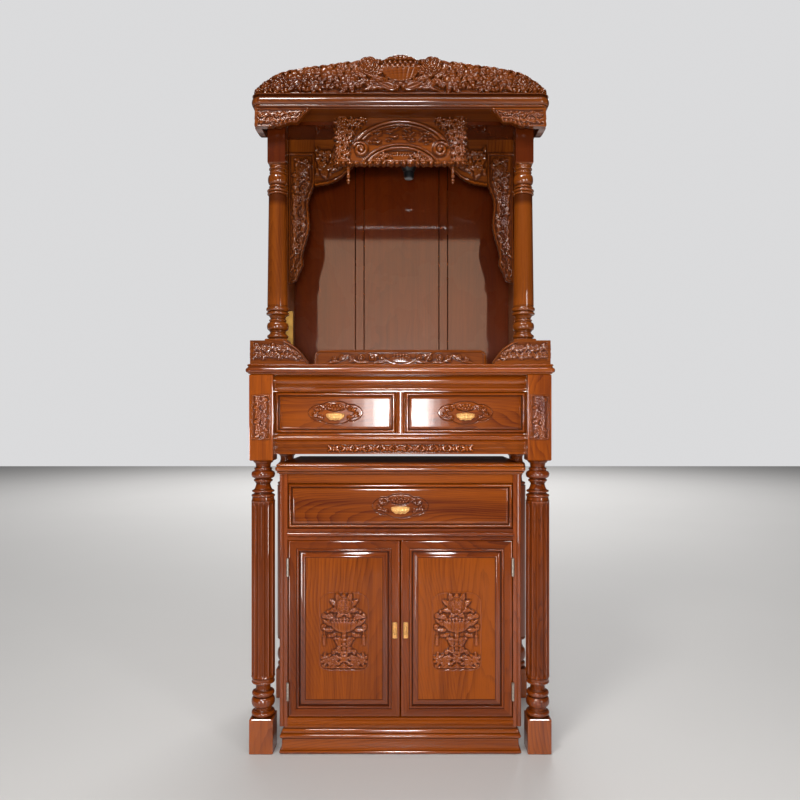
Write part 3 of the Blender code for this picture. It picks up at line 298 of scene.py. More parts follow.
def mark_hollows(piece):
    """Marks a turned or moulded piece by how much its edges rise from each point; the marks place its painted
    shade and painted highlight.
    """
    mesh = piece.data
    points = read_vectors(mesh.vertices, "co")
    normals = read_vectors(mesh.vertex_normals, "vector")
    ends = np.empty(len(mesh.edges) * 2, np.int32)
    mesh.edges.foreach_get("vertices", ends)
    first, second = ends.reshape(-1, 2).T
    ways = points[second] - points[first]
    ways = ways / np.maximum(np.linalg.norm(ways, axis=1), 1e-9)[:, None]
    rise = np.zeros(len(points))
    np.add.at(rise, first, (ways * normals[first]).sum(axis=1))
    np.add.at(rise, second, -(ways * normals[second]).sum(axis=1))
    write_marks(mesh, np.clip(0.5 - TURNED_GAIN * rise, 0.0, 1.0))


def join(name, pieces):
    """One object from several."""
    pick(*pieces)
    bpy.ops.object.join()
    piece = bpy.context.object
    piece.name = name
    piece.data.name = name
    return piece


def paint(piece, *materials):
    """Puts materials in a piece's slots and leaves its faces' choice of slot as it is."""
    for number, material in enumerate(materials):
        if number < len(piece.data.materials):
            piece.data.materials[number] = material
        else:
            piece.data.materials.append(material)
    return piece


def settle(piece, nodes, body="root"):
    """Names the body that a finished piece rides on and hides the CAD nodes it stands for."""
    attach(piece, body)
    if nodes:
        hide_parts(*([nodes] if isinstance(nodes, str) else nodes))
    return piece


def fit(piece, finish, nodes, body="root"):
    """Gives a piece its one finish and settles it."""
    return settle(paint(piece, material(finish)), nodes, body)


def corner_ring(low, high, inset, radius, z, steps=6):
    """A rectangle with round corners at one height, seen from above."""
    points = []
    for quarter, (sign_x, sign_y) in enumerate(((1, 1), (-1, 1), (-1, -1), (1, -1))):
        centre_x = (high[0] if sign_x > 0 else low[0]) - sign_x * (inset + radius)
        centre_y = (high[1] if sign_y > 0 else low[1]) - sign_y * (inset + radius)
        for step in range(steps + 1):
            angle = math.radians(90 * (quarter + step / steps))
            points.append((centre_x + radius * math.cos(angle), centre_y + radius * math.sin(angle), z))
    return points


def edge_moulding(members, low_z):
    """Heights and insets of a moulded edge from below. A member is, in millimetres, its height, the inset at
    its foot and head, and how far it swells out (or hollows, below zero) between them."""
    points = []
    for height, foot, head, swell in members:
        for t in np.linspace(0.0, 1.0, 8 if swell else 2):
            bulge = swell * math.sqrt(max(0.0, 1 - (2 * t - 1) ** 2))
            points.append((low_z + MM * height * t, MM * (foot + (head - foot) * t - bulge)))
        low_z += MM * height
    return points


def slab(name, low, high, members, corner, turned_corner=6):
    """A board with a moulded edge and round corners."""
    edge = edge_moulding(members, low[2])
    edge = [(edge[0][0], edge[0][1] + FLAT_MARGIN), *edge, (edge[-1][0], edge[-1][1] + FLAT_MARGIN)]
    rings = [corner_ring(low, high, inset, max(corner - inset, 0.001), z, turned_corner) for z, inset in edge]
    return loft(name, rings)


def run_moulding(name, profile, x_low, x_high):
    """A straight moulding along X whose cross-section is given as (y, z), closed at its ends."""
    profile = np.array(profile)
    rings = [np.column_stack([np.full(len(profile), x), profile]) for x in (x_low, x_high)]
    return loft(name, rings)


def arc(centre, radius, start, end, steps):
    """Points of an arc, in degrees from the first axis, both ends included."""
    angles = np.radians(np.linspace(start, end, steps + 1))
    return [(centre[0] + radius * math.cos(a), centre[1] + radius * math.sin(a)) for a in angles]


# Carved forms: each takes arrays of places on the face and gives heights from 0 to 1, 0 where it isn't

def ramp(value, low, high):
    """0 below low and 1 above high, with a soft slope between."""
    t = np.clip((value - low) / (high - low), 0.0, 1.0)
    return t * t * (3 - 2 * t)


def over(ground, form, lift=0.0):
    """Lays a form over what is carved so far, its rim cut down round it."""
    return np.where(form > 0, lift + (1 - lift) * form, ground)


def ridge(distance, width):
    """A round-backed ridge along a line."""
    return np.sqrt(np.clip(1 - (distance / width) ** 2, 0.0, 1.0))


def oval(x, z, centre, radius_x, radius_z, turn=0.0):
    """An oval dome."""
    dx, dz = x - centre[0], z - centre[1]
    c, s = math.cos(turn), math.sin(turn)
    return ridge(np.hypot((dx * c + dz * s) / radius_x, (dz * c - dx * s) / radius_z), 1.0)


def along(x, z, foot, angle):
    """Distances along and across a direction from a foot point."""
    c, s = np.cos(angle), np.sin(angle)
    dx, dz = x - foot[0], z - foot[1]
    return dx * c + dz * s, dz * c - dx * s


def petal(x, z, foot, angle, long, wide, cup=0.0, bend=0.0):
    """A pointed petal from its foot; a cupped one has a raised rim and a hollow middle."""
    u, v = along(x, z, foot, angle)
    u = u / long
    v = v - bend * long * u * u
    edge = wide * np.sin(math.pi * np.clip(u, 0, 1) ** 0.8) + 1e-6
    q = np.abs(v) / edge
    inside = (u > 0) & (u < 1) & (q < 1)
    rise = 0.55 + 0.45 * u
    round_back = np.sqrt(np.clip(1 - q * q, 0, 1))
    cupped = (0.45 + 0.55 * q ** 2) * ramp(1 - q, 0.0, 0.2) + 0.3 * np.exp(-(v / (0.16 * wide)) ** 2)
    return np.where(inside, rise * ((1 - cup) * round_back + cup * cupped), 0.0)


def leaf(x, z, foot, angle, long, wide, bend=0.0, lobes=4):
    """A lobed leaf with a sunk vein and slanting ribs."""
    u, v = along(x, z, foot, angle)
    u = u / long
    v = v - bend * long * u * u
    edge = wide * np.sin(math.pi * np.clip(u, 0, 1) ** 0.7) ** 0.8
    edge = edge * (0.8 + 0.2 * np.abs(np.cos(lobes * math.pi * u))) + 1e-6
    q = np.abs(v) / edge
    inside = (u > 0) & (u < 1) & (q < 1)
    body = 0.4 + 0.6 * np.sqrt(np.clip(1 - q * q, 0, 1))
    vein = 0.26 * np.exp(-(v / (0.14 * wide)) ** 2)
    ribs = 0.06 * np.cos(2 * lobes * math.pi * (u - 0.3 * q))
    return np.where(inside, np.clip(body - vein + ribs, 0.05, 1.0), 0.0)


def curl(x, z, centre, radius, start, hand, width=0.17, turns=1.55):
    """A volute: a ridge that winds in to a round eye. Start is the angle of its outer end."""
    dx, dz = x - centre[0], z - centre[1]
    r = np.hypot(dx, dz) / radius
    turn = (hand * (np.arctan2(dz, dx) - start)) % (2 * math.pi) / (2 * math.pi)
    height = ridge(r, 0.27)
    for whole in (0, 1):
        arm = (1 - width) * (1 - 0.47 * (turn + whole))
        height = np.maximum(height, np.where(turn + whole < turns, ridge(r - arm, width), 0.0))
    return height


def bead_row(s, t, pitch, radius, middle=0.0):
    """Beads in a row along s."""
    return ridge(np.hypot(s - pitch * np.round(s / pitch), t - middle), radius)


def blossom(x, z, centre, radius, petals, turn=0.0):
    """An open flower: round petals with grooves between them and a beaded heart."""
    dx, dz = x - centre[0], z - centre[1]
    r = np.hypot(dx, dz) / radius
    angle = np.arctan2(dz, dx) + turn
    wave = np.abs(np.cos(petals * angle / 2))
    rim = 0.74 + 0.26 * wave ** 0.5
    q = r / rim
    groove = 1 - 0.45 * np.exp(-(wave / 0.3) ** 2) * ramp(r, 0.15, 0.4)
    height = np.where(q < 1, (0.3 + 0.7 * np.sin(math.pi * np.clip(q, 0, 1) ** 1.3) ** 0.8) * groove, 0.0)
    heart = ridge(r, 0.26)
    return np.where(heart > 0, 0.55 + 0.45 * heart, height)


def peony(x, z, centre, radius, turn=0.0):
    """A full flower: scalloped layers of petals, each over the one outside it."""
    height = np.zeros_like(x)
    for layer, (size, petals) in enumerate(((1.0, 8), (0.8, 7), (0.6, 6), (0.42, 5))):
        dx, dz = x - centre[0], z - centre[1]
        angle = np.arctan2(dz, dx) + turn + 0.7 * layer
        wave = np.abs(np.cos(petals * angle / 2))
        crinkle = 0.03 * np.cos(petals * 5 * angle)
        rim = radius * size * (0.8 + 0.2 * wave ** 0.5 + crinkle)
        q = np.hypot(dx, dz) / rim
        groove = 1 - 0.4 * np.exp(-(wave / 0.25) ** 2)
        lifted = 0.3 + 0.17 * layer
        form = np.where(q < 1, (lifted + 0.3 * q ** 2) * ramp(1 - q, 0.0, 0.12) * groove, 0.0)
        height = np.where(q < 1, np.maximum(form, 0.12 + 0.1 * layer), height)
    heart = oval(x, z, centre, 0.17 * radius, 0.17 * radius)
    return np.where(heart > 0, 0.62 + 0.38 * heart, height)


def vine(s, t, pitch, half, seed=0):
    """A running scroll along s: a waving stem, a volute with an eye in each bend and leaves that fill the
    corners. Each bend differs a little from the last. Across the band, t runs from -half to half."""
    unit = pitch / 2
    index = np.floor(s / unit)
    flip = np.where(index % 2 == 0, 1.0, -1.0)
    vary = np.sin(2.3 * index + 1.7 * seed)
    x = s - (index + 0.5) * unit
    z = t * flip
    height = np.zeros_like(s)
    wide = np.minimum(0.3 * half, 0.34 * unit)
    for foot, angle, long, bend in (
        ((-0.06 * unit, 0.26 * half), 2.55, 0.66 * unit, 0.35),
        ((0.02 * unit, 0.3 * half), 1.6, 0.6 * half, 0.2),
        ((0.08 * unit, 0.22 * half), 0.62, 0.62 * unit, -0.35),
        ((-0.1 * unit, -0.34 * half), -2.35, 0.6 * unit, -0.3),
        ((0.12 * unit, -0.34 * half), -0.75, 0.58 * unit, 0.3),
        ((0.3 * unit, -0.1 * half), -0.1, 0.34 * unit, 0.3),
    ):
        height = over(height, leaf(x, z, foot, angle + 0.22 * vary, long, wide, bend, 3), 0.12)
    wave = 0.5 * half * np.cos(math.pi * x / unit)
    slope = 0.5 * half * math.pi / unit * np.sin(math.pi * x / unit)
    stem = ridge((z - wave) / np.sqrt(1 + slope ** 2), np.minimum(0.13 * half, 0.003))
    height = np.maximum(height, 0.8 * stem)
    round_size = (0.5 + 0.05 * vary) * np.minimum(half, unit * 0.85)
    volute = curl(x, z, (0.03 * unit, -0.24 * half), round_size, 2.2 + seed + 0.8 * vary, 1, 0.19)
    height = over(height, 0.98 * volute, 0.2)
    height = np.maximum(height, 0.9 * oval(x, z, (0.42 * unit, 0.1 * half), 0.09 * unit, 0.13 * half, 0.5))
    return np.maximum(height, 0.85 * oval(x, z, (-0.44 * unit, 0.66 * half), 0.08 * unit, 0.12 * half))


def spray(x, z, centre, radius, leaves, petals, turn=0.0):
    """A flower with a wreath of leaves round it."""
    height = np.zeros_like(x)
    for step in range(leaves):
        angle = turn + 2 * math.pi * step / leaves
        foot = (centre[0] + 0.6 * radius * math.cos(angle), centre[1] + 0.6 * radius * math.sin(angle))
        height = over(height, leaf(x, z, foot, angle, 1.15 * radius, 0.36 * radius, 0.3, 3), 0.15)
    return over(height, blossom(x, z, centre, radius, petals, turn), 0.3)


def soften(height):
    """Rounds the sharpest cuts, as a finish of lacquer does."""
    framed = np.pad(height, 1, mode="edge")
    beside = framed[:-2, 1:-1] + framed[2:, 1:-1] + framed[1:-1, :-2] + framed[1:-1, 2:]
    return (4 * height + beside) / 8


def hollowness(height):
    """How far a place lies under (below 0.5) or over (above 0.5) the mean of what is round it."""
    around = np.pad(height, MARK_REACH, mode="edge")
    for axis in (0, 1):
        around = np.lib.stride_tricks.sliding_window_view(around, 2 * MARK_REACH + 1, axis).mean(axis=-1)
    return np.clip(0.5 + CARVED_GAIN * (height - around), 0.0, 1.0)


def carved(name, s, low_edge, high_edge, relief, depth, place, back, fineness=None, keep=0.0):
    """A carved board: its face is a grid between two edges, raised by the relief, and its rim runs back to a
    flat back. Place turns (along, up, out) into places in the scene. Back is its axis and coordinate."""
    fineness = fineness or carving_settings().grid
    low, high = low_edge(s), high_edge(s)
    rows = max(6, int(round(float(np.max(high - low)) / fineness)))
    t = np.linspace(0.0, 1.0, rows + 1)[:, None]
    along_s = np.repeat(s[None, :], rows + 1, axis=0)
    up = low + (high - low) * t
    height = soften(relief(along_s, up, low + 0 * t, high + 0 * t))
    piece = grid_of(name, place(along_s, up, depth * height + keep))
    write_marks(piece.data, hollowness(height))
    pick(piece)
    bpy.ops.object.mode_set(mode="EDIT")
    bpy.ops.mesh.select_mode(type="EDGE")
    bpy.ops.mesh.select_all(action="DESELECT")
    bpy.ops.mesh.select_non_manifold()
    bpy.ops.mesh.extrude_region_move()
    bpy.ops.object.mode_set(mode="OBJECT")
    points = read_vectors(piece.data.vertices, "co")
    points[along_s.size:, back[0]] = back[1]
    piece.data.vertices.foreach_set("co", points.ravel())
    pick(piece)
    bpy.ops.object.mode_set(mode="EDIT")
    bpy.ops.mesh.select_all(action="DESELECT")
    bpy.ops.mesh.select_non_manifold()
    bpy.ops.mesh.fill_holes(sides=0)
    bpy.ops.mesh.select_all(action="SELECT")
    bpy.ops.mesh.normals_make_consistent(inside=False)
    bpy.ops.object.mode_set(mode="OBJECT")
    shade(piece, CARVED_ANGLE)
    return piece


def facing_front(face_y):
    """Turns (along, up, out) into places on a face that looks to the front."""
    return lambda s, up, out: np.stack([s, face_y - out, up], axis=-1)


def stations(low, high, fineness=None):
    """Even places along a board at the carving's fineness."""
    fineness = fineness or carving_settings().grid
    return np.linspace(low, high, max(8, int(round((high - low) / fineness))) + 1)


def outline(points, reach):
    """A function that reads a height between the outline's points, given as shares of the reach."""
    shares = np.array([p[0] for p in points]) * reach
    values = np.array([p[1] for p in points])
    return lambda s: np.interp(np.abs(s), shares, values)


# Materials

def place(tree, kind, sockets=None, **settings):
    """Adds a shader node. Sockets gives, by name or number, an input's value or the output that feeds it."""
    made = tree.nodes.new(kind)
    for name, value in settings.items():
        setattr(made, name, value)
    for key, value in (sockets or {}).items():
        if isinstance(value, bpy.types.NodeSocket):
            tree.links.new(value, made.inputs[key])
        else:
            made.inputs[key].default_value = value
    return made


def math_node(tree, operation, *values):
    """The output of one sum."""
    return place(tree, "ShaderNodeMath", dict(enumerate(values)), operation=operation).outputs[0]


def mix_colour(tree, factor, first, second, blend="MIX"):
    """The output of one mix of colours."""
    made = place(tree, "ShaderNodeMix", data_type="RGBA", blend_type=blend)
    for number, value in ((0, factor), (6, first), (7, second)):
        if isinstance(value, bpy.types.NodeSocket):
            tree.links.new(value, made.inputs[number])
        else:
            made.inputs[number].default_value = value
    return made.outputs[2]


def spread(tree, value, low, high, to_low=0.0, to_high=1.0):
    """The output of one map range, clamped."""
    sockets = {"Value": value, "From Min": low, "From Max": high, "To Min": to_low, "To Max": to_high}
    return place(tree, "ShaderNodeMapRange", sockets).outputs["Result"]


def rgba(value):
    """A colour setting as four numbers."""
    return (*value, 1.0)


def new_group(name, inputs, outputs):
    """An empty shader node group with named sockets, and the nodes at its two ends."""
    tree = bpy.data.node_groups.new(name, "ShaderNodeTree")
    for direction, sockets in (("INPUT", inputs), ("OUTPUT", outputs)):
        for socket_name, kind in sockets:
            tree.interface.new_socket(socket_name, in_out=direction, socket_type="NodeSocket" + kind)
    return tree, place(tree, "NodeGroupInput"), place(tree, "NodeGroupOutput")


def grain_group():
    """Wood grain that runs along Z. Growth rings round a leaning pith, one to each board's width, give arched
    figure; stretched noise gives fibre, streaks and short dark pores."""
    outputs = (("Figure", "Float"), ("Pores", "Float"), ("Height", "Float"))
    tree, given, result = new_group("wood_grain", (("Vector", "Vector"), ("Ring Width", "Float")), outputs)
    vector = given.outputs["Vector"]

    def stretched(amount):
        sockets = {0: vector, 1: (1.0, 1.0, amount)}
        return place(tree, "ShaderNodeVectorMath", sockets, operation="MULTIPLY").outputs[0]

    def noise(amount, scale, detail):
        sockets = {"Vector": stretched(amount), "Scale": scale, "Detail": detail}
        return place(tree, "ShaderNodeTexNoise", sockets).outputs["Fac"]

    def plus(first, second):
        return math_node(tree, "ADD", first, second)

    def times(first, second):
        return math_node(tree, "MULTIPLY", first, second)

    axes = place(tree, "ShaderNodeSeparateXYZ", {0: vector}).outputs
    sway = times(noise(0.35, 5.0, 2.0), 0.11)
    half_board, pith_reach = 0.16, 0.12
    across = math_node(tree, "WRAP", axes["X"], half_board, -half_board)
    inward = plus(plus(axes["Y"], times(axes["Z"], 0.085)), 0.255)
    inward = math_node(tree, "WRAP", inward, pith_reach, -pith_reach)
    squares = [math_node(tree, "POWER", plus(value, sway), 2.0) for value in (across, inward)]
    radius = math_node(tree, "POWER", plus(*squares), 0.5)
    rings = math_node(tree, "DIVIDE", radius, given.outputs["Ring Width"])
    rings = plus(rings, times(noise(0.05, 30.0, 3.0), 1.5))
    late_wood = math_node(tree, "POWER", math_node(tree, "FRACT", rings), 2.6)
    patches = spread(tree, noise(0.22, 7.0, 2.0), 0.38, 0.62)
    late_wood = times(late_wood, plus(times(patches, 0.75), 0.25))
    fibre = noise(0.01, 520.0, 2.0)
    light = math_node(tree, "SUBTRACT", 1.0, times(late_wood, 0.38))
    for part, weight in ((noise(0.035, 60.0, 3.0), 0.9), (fibre, 0.55), (noise(0.2, 5.0, 3.0), 1.15)):
        light = plus(light, times(part, weight))
    tree.links.new(spread(tree, light, 1.72, 2.42), result.inputs["Figure"])
    dots = times(
        spread(tree, noise(0.03, 640.0, 1.0), 0.57, 0.7), spread(tree, late_wood, 0.0, 0.6, 0.35, 1.0))
    tree.links.new(dots, result.inputs["Pores"])
    tree.links.new(math_node(tree, "SUBTRACT", fibre, dots), result.inputs["Height"])
    return tree


def painted_shade_group():
    """Painted shade in the carving's hollows and a painted highlight on its raised edges, both from the
    piece's marks; the raised edges also get a stronger coat.
    """
    inputs = (("Colour", "Color"), ("Painted Shade", "Color"), ("Amount", "Float"))
    tree, given, result = new_group("carving_painted_shade", inputs, (("Colour", "Color"), ("Coat", "Float")))
    mark = place(tree, "ShaderNodeAttribute", attribute_name="carving").outputs["Fac"]
    # Painted shade: the hollows are darkened towards the hollow colour
    hollow = spread(tree, mark, 0.49, 0.28)
    # Painted highlight: the raised edges are lightened
    painted_highlight = spread(tree, mark, 0.56, 0.86, 0.0, 0.36)
    amount = math_node(tree, "MULTIPLY", hollow, given.outputs["Amount"])
    darker = mix_colour(tree, amount, given.outputs["Colour"], given.outputs["Painted Shade"])
    lighter = mix_colour(tree, 1.0, darker, (1.55, 1.5, 1.3, 1.0), "MULTIPLY")
    tree.links.new(mix_colour(tree, painted_highlight, darker, lighter), result.inputs["Colour"])
    tree.links.new(spread(tree, mark, 0.5, 0.6, 0.17, 0.8), result.inputs["Coat"])
    return tree


GRAIN_TURN = {"upright": (0.0, 0.0, 0.0), "level": (0.0, math.pi / 2, 0.0), "deep": (math.pi / 2, 0.0, 0.0)}


def new_material(name):
    """A new material, its nodes, its shader and the places on the piece that its patterns read."""
    made = bpy.data.materials.new(name)
    made.use_nodes = True
    tree = made.node_tree
    return made, tree, tree.nodes["Principled BSDF"], place(tree, "ShaderNodeTexCoord").outputs["Object"]


def lacquer(name, light, dark, direction="upright", is_carved=False, gloss=1.0, roughness=0.36,
        ring_width=0.0075):
    """Clear-lacquered wood with its grain in one direction; a carved one gets painted shade in its hollows
    and a painted highlight on its raised edges.
    """
    settings = finish_settings()
    made, tree, surface, where = new_material(name)
    turned_to = place(tree, "ShaderNodeMapping", {"Vector": where, "Rotation": GRAIN_TURN[direction]})
    grain = place(tree, "ShaderNodeGroup", node_tree=bpy.data.node_groups["wood_grain"])
    tree.links.new(turned_to.outputs["Vector"], grain.inputs["Vector"])
    grain.inputs["Ring Width"].default_value = ring_width
    wood = mix_colour(tree, grain.outputs["Figure"], rgba(dark), rgba(light))
    pore_share = math_node(tree, "MULTIPLY", grain.outputs["Pores"], 0.45)
    wood = mix_colour(tree, pore_share, wood, rgba(dark))
    if is_carved:
        # Painted shade in the hollows and painted highlight on the raised edges of a carved piece
        painted_shade = place(tree, "ShaderNodeGroup", node_tree=bpy.data.node_groups["carving_painted_shade"])
        tree.links.new(wood, painted_shade.inputs["Colour"])
        painted_shade.inputs["Painted Shade"].default_value = rgba(settings.hollow)
        painted_shade.inputs["Amount"].default_value = settings.hollow_share
        wood = painted_shade.outputs["Colour"]
        coat = math_node(tree, "MULTIPLY", painted_shade.outputs["Coat"], settings.gloss * gloss)
        tree.links.new(coat, surface.inputs["Coat Weight"])
    else:
        surface.inputs["Coat Weight"].default_value = PLAIN_COAT * settings.gloss * gloss
    tree.links.new(wood, surface.inputs["Base Color"])
    smear = place(tree, "ShaderNodeTexNoise", {"Vector": where, "Scale": 7.0, "Detail": 3.0})
    dullness = spread(tree, smear.outputs["Fac"], 0.3, 0.7, roughness - 0.05, roughness + 0.07)
    tree.links.new(dullness, surface.inputs["Roughness"])
    bump = place(
        tree, "ShaderNodeBump", {"Strength": 0.1, "Distance": 0.0004, "Height": grain.outputs["Height"]})
    tree.links.new(bump.outputs["Normal"], surface.inputs["Normal"])
    surface.inputs["Coat Roughness"].default_value = COAT_ROUGHNESS
    surface.inputs["Coat IOR"].default_value = COAT_IOR
    surface.inputs["Specular IOR Level"].default_value = WOOD_SHINE
    return made


def metal(name, base, roughness, metallic, brushed=90.0):
    """A plain metal or plastic with fine wear."""
    made, tree, surface, where = new_material(name)
    patch = place(tree, "ShaderNodeTexNoise", {"Vector": where, "Scale": brushed, "Detail": 4.0})
    darker = tuple(0.62 * value for value in base)
    worn = spread(tree, patch.outputs["Fac"], 0.35, 0.62)
    tree.links.new(mix_colour(tree, worn, rgba(darker), rgba(base)), surface.inputs["Base Color"])
    dullness = spread(tree, patch.outputs["Fac"], 0.3, 0.7, roughness + 0.12, roughness - 0.06)
    tree.links.new(dullness, surface.inputs["Roughness"])
    surface.inputs["Metallic"].default_value = metallic
    bump = place(
        tree, "ShaderNodeBump", {"Strength": 0.08, "Distance": 0.0003, "Height": patch.outputs["Fac"]})
    tree.links.new(bump.outputs["Normal"], surface.inputs["Normal"])
    return made


def material(name):
    """A material that the finish operator made."""
    return bpy.data.materials[name]


class ALTAR_OT_finish(bpy.types.Operator):
    """Makes the lacquers and metals"""

    bl_idname = "altar.finish"
    bl_label = "Finishes"

    def execute(self, context):
        settings = finish_settings()
        grain_group()
        painted_shade_group()
        finishes = {
            "table": (settings.table_light, settings.table_dark),
            "frame": (settings.frame_light, settings.frame_dark),
            "shrine": (settings.shrine_light, settings.shrine_dark)}
        for word, (light, dark) in finishes.items():
            for direction in GRAIN_TURN:
                lacquer(word + "_" + direction, light, dark, direction, True)
                lacquer(word + "_board_" + direction, light, dark, direction)
        # Niche lacquer: grain toned down as painted shade, for the back wall, the ceiling and the column
        # heads
        for direction in ("upright", "deep"):
            made = lacquer(
                "niche_" + direction, settings.niche_light, settings.niche_dark, direction, roughness=0.26)
            surface = made.node_tree.nodes["Principled BSDF"]
            surface.inputs["Coat Weight"].default_value = NICHE_COAT * settings.gloss
        lacquer(
            "drawer_wood", settings.drawer_inside, settings.table_light, "deep", gloss=0.2, roughness=0.55)
        metal("gilt", settings.pull, 0.42, 0.55, 240.0)
        metal("dull_steel", settings.hinge, 0.34, 1.0, 160.0)
        metal("black_plastic", settings.fitting, 0.32, 0.0)
        batten_dark = tuple(0.55 * value for value in settings.batten)
        lacquer("pale_batten_wood", settings.batten, batten_dark, gloss=0.0, roughness=0.66)
        return {"FINISHED"}


# The crest, the cornice and what hangs from it

CREST_TOP = (
    (0.0, 1.0), (0.05, 0.985), (0.1, 0.9), (0.125, 0.86), (0.16, 0.9), (0.215, 0.97), (0.265, 0.91),
    (0.31, 0.84), (0.38, 0.81), (0.45, 0.77), (0.57, 0.71), (0.67, 0.665), (0.76, 0.6), (0.84, 0.51),
    (0.93, 0.31), (1.0, 0.09),
)


def lotus_bowl(x, z, foot, half_wide, tall, ribs):
    """A lotus seen from the side as a round bowl of upright petals with scalloped tips."""
    dx, dz = np.abs(x - foot[0]), z - foot[1]
    pitch = 2 * half_wide / ribs
    across = np.clip(dx / half_wide, 0, 1)
    bulge = dx / (0.62 + 0.38 * np.clip(dz / tall, 0, 1))
    nearest = bulge - pitch * np.round(bulge / pitch)
    petal_round = np.clip(1 - (2.05 * nearest / pitch) ** 2, 0, 1) ** 0.5
    low_edge = tall * (1 - np.sqrt(np.clip(1 - across ** 2.2, 0, 1)))
    high_edge = tall * (0.86 + 0.14 * petal_round)
    inside = (dx < half_wide) & (dz > low_edge) & (dz < high_edge)
    lift = 0.55 + 0.45 * np.sqrt(np.clip((dz - low_edge) / tall, 0, 1))
    dome = np.sqrt(np.clip(1 - across ** 2.4, 0, 1)) * lift
    return np.where(inside, (0.42 + 0.58 * dome) * (0.8 + 0.2 * petal_round), 0.0)


CREST_SPRAYS = (
    (0.15, 0.3, 0.0245, 5), (0.166, 0.68, 0.019, 5), (0.206, 0.5, 0.0255, 5), (0.25, 0.22, 0.0195, 5),
    (0.262, 0.56, 0.0185, 5), (0.304, 0.36, 0.0235, 5), (0.349, 0.22, 0.019, 5), (0.35, 0.44, 0.012, 5),
    (0.386, 0.18, 0.0145, 5), (0.407, 0.08, 0.008, 5),
)


def crest_relief(half, base, tall):
    """A lotus in the middle, a peony each side of it, then flowers in leaves to the ends."""

    def relief(x, z, low, high):
        x = np.abs(x)
        up = z - base
        middle = (high - low) / 2
        height = np.maximum(0.05, 0.6 * vine(x - 0.03, up - middle, 0.08, 0.92 * middle))
        for far, level, size, petals in CREST_SPRAYS:
            height = over(height, spray(x, up, (far, level * tall), size, 7, petals, far * 40), 0.15)
        for far, level in (
            (0.122, 0.2), (0.124, 0.52), (0.181, 0.2), (0.226, 0.74), (0.277, 0.12), (0.322, 0.6),
            (0.328, 0.08), (0.232, 0.36), (0.372, 0.36),
        ):
            height = over(height, oval(x, up, (far, level * tall), 0.0075, 0.0075), 0.35)
        for foot, angle, long, wide, bend in (
            ((0.034, 0.16), 0.3, 0.072, 0.01, -0.5), ((0.05, 0.3), 0.75, 0.05, 0.0095, -0.4),
            ((0.1, 0.36), -0.8, 0.04, 0.0105, 0.4), ((0.054, 0.76), 1.2, 0.03, 0.0085, -0.4),
            ((0.098, 0.42), 0.1, 0.036, 0.009, 0.4),
        ):
            form = leaf(x, up, (foot[0], foot[1] * tall), angle, long, wide, bend, 4)
            height = over(height, form, 0.22)
        height = over(height, peony(x, up, (0.0885, 0.735 * tall), 0.033, 0.4), 0.22)
        for step in range(4):
            far = 0.0145 * step
            dome = oval(x, up, (far, (0.925 - 0.035 * step) * tall), 0.011, 0.0125)
            height = over(height, dome * (1 - 0.35 * ridge(np.hypot(x - far, up - 0.9 * tall), 0.005)), 0.2)
        pod = (up > 0.6 * tall) & (up < 0.845 * tall - 0.004 * (x / 0.05) ** 2) & (x < 0.0495)
        slope = 0.3 + 0.65 * np.clip((0.845 * tall - up) / (0.2 * tall), 0, 1)
        height = np.where(pod, 0.62 * slope, height)
        for level, shift, size in ((0.79, 0.0, 0.0066), (0.7, 0.0074, 0.007)):
            beads = bead_row(x - shift, up, 0.0148, size, level * tall)
            height = np.where((x < 0.047) & (beads > 0), 0.62 * slope + 0.55 * beads, height)
        height = over(height, lotus_bowl(x, up, (0.0, 0.31 * tall), 0.0545, 0.36 * tall, 7), 0.3)
        height = over(height, petal(x, up, (0.014, 0.17 * tall), 0.42, 0.062, 0.0105, 0.15, -0.35), 0.35)
        height = over(height, petal(x, up, (0.01, 0.1 * tall), 0.12, 0.066, 0.008, 0.15, 0.3), 0.4)
        height = over(height, curl(x, up, (0.011, 0.175 * tall), 0.01, 1.2, 1, 0.2), 0.4)
        height = over(height, oval(x, up, (0.0, 0.245 * tall), 0.009, 0.0065), 0.5)
        rim = ramp(high - z, 0.0, 0.005)
        foot = 0.42 * (1 - ramp(up, 0.0045, 0.006))
        return np.maximum(height * (0.3 + 0.7 * rim), foot)

    return relief


class ALTAR_OT_crest(bpy.types.Operator):
    """Carves the crest on the cornice"""

    bl_idname = "altar.crest"
    bl_label = "Crest"

    def execute(self, context):
        low, high = box("crest")
        half, base, tall = high[0], low[2], high[2] - low[2]
        read = outline(CREST_TOP, half)

        def top(x):
            scallop = 0.0028 * np.abs(np.sin(math.pi * x / 0.0235)) * ramp(half - np.abs(x), 0.0, 0.02)
            return base + (tall - 0.0028) * read(x) + scallop

        depth = carving_settings().crest_depth
        face = high[1] - 0.018
        piece = carved(
            "crest_carved", stations(-half, half), lambda x: base + 0 * x, top,
            crest_relief(half, base, tall), depth,
            facing_front(face), (1, high[1]))
        fit(piece, "shrine_level", "crest")
        return {"FINISHED"}


class ALTAR_OT_cornice(bpy.types.Operator):
    """Turns the cornice: a fillet, a cove and a broad bead under the crest"""

    bl_idname = "altar.cornice"
    bl_label = "Cornice"

    def execute(self, context):
        low, high = box("cornice")
        members = (
            (3, 13.5, 12.5, 0), (6.5, 9, 7.5, 3), (1.5, 8.5, 8.5, 0), (21, 5.5, 5.5, 5.5),
            (1.5, 5.5, 5.5, 0), (5, 3, 8, -2), (3.5, 2, 5, 1.2),
        )
        piece = slab("cornice_turned", low, high, members, 0.03, 12)
        fit(piece, "shrine_level", "cornice")
        return {"FINISHED"}


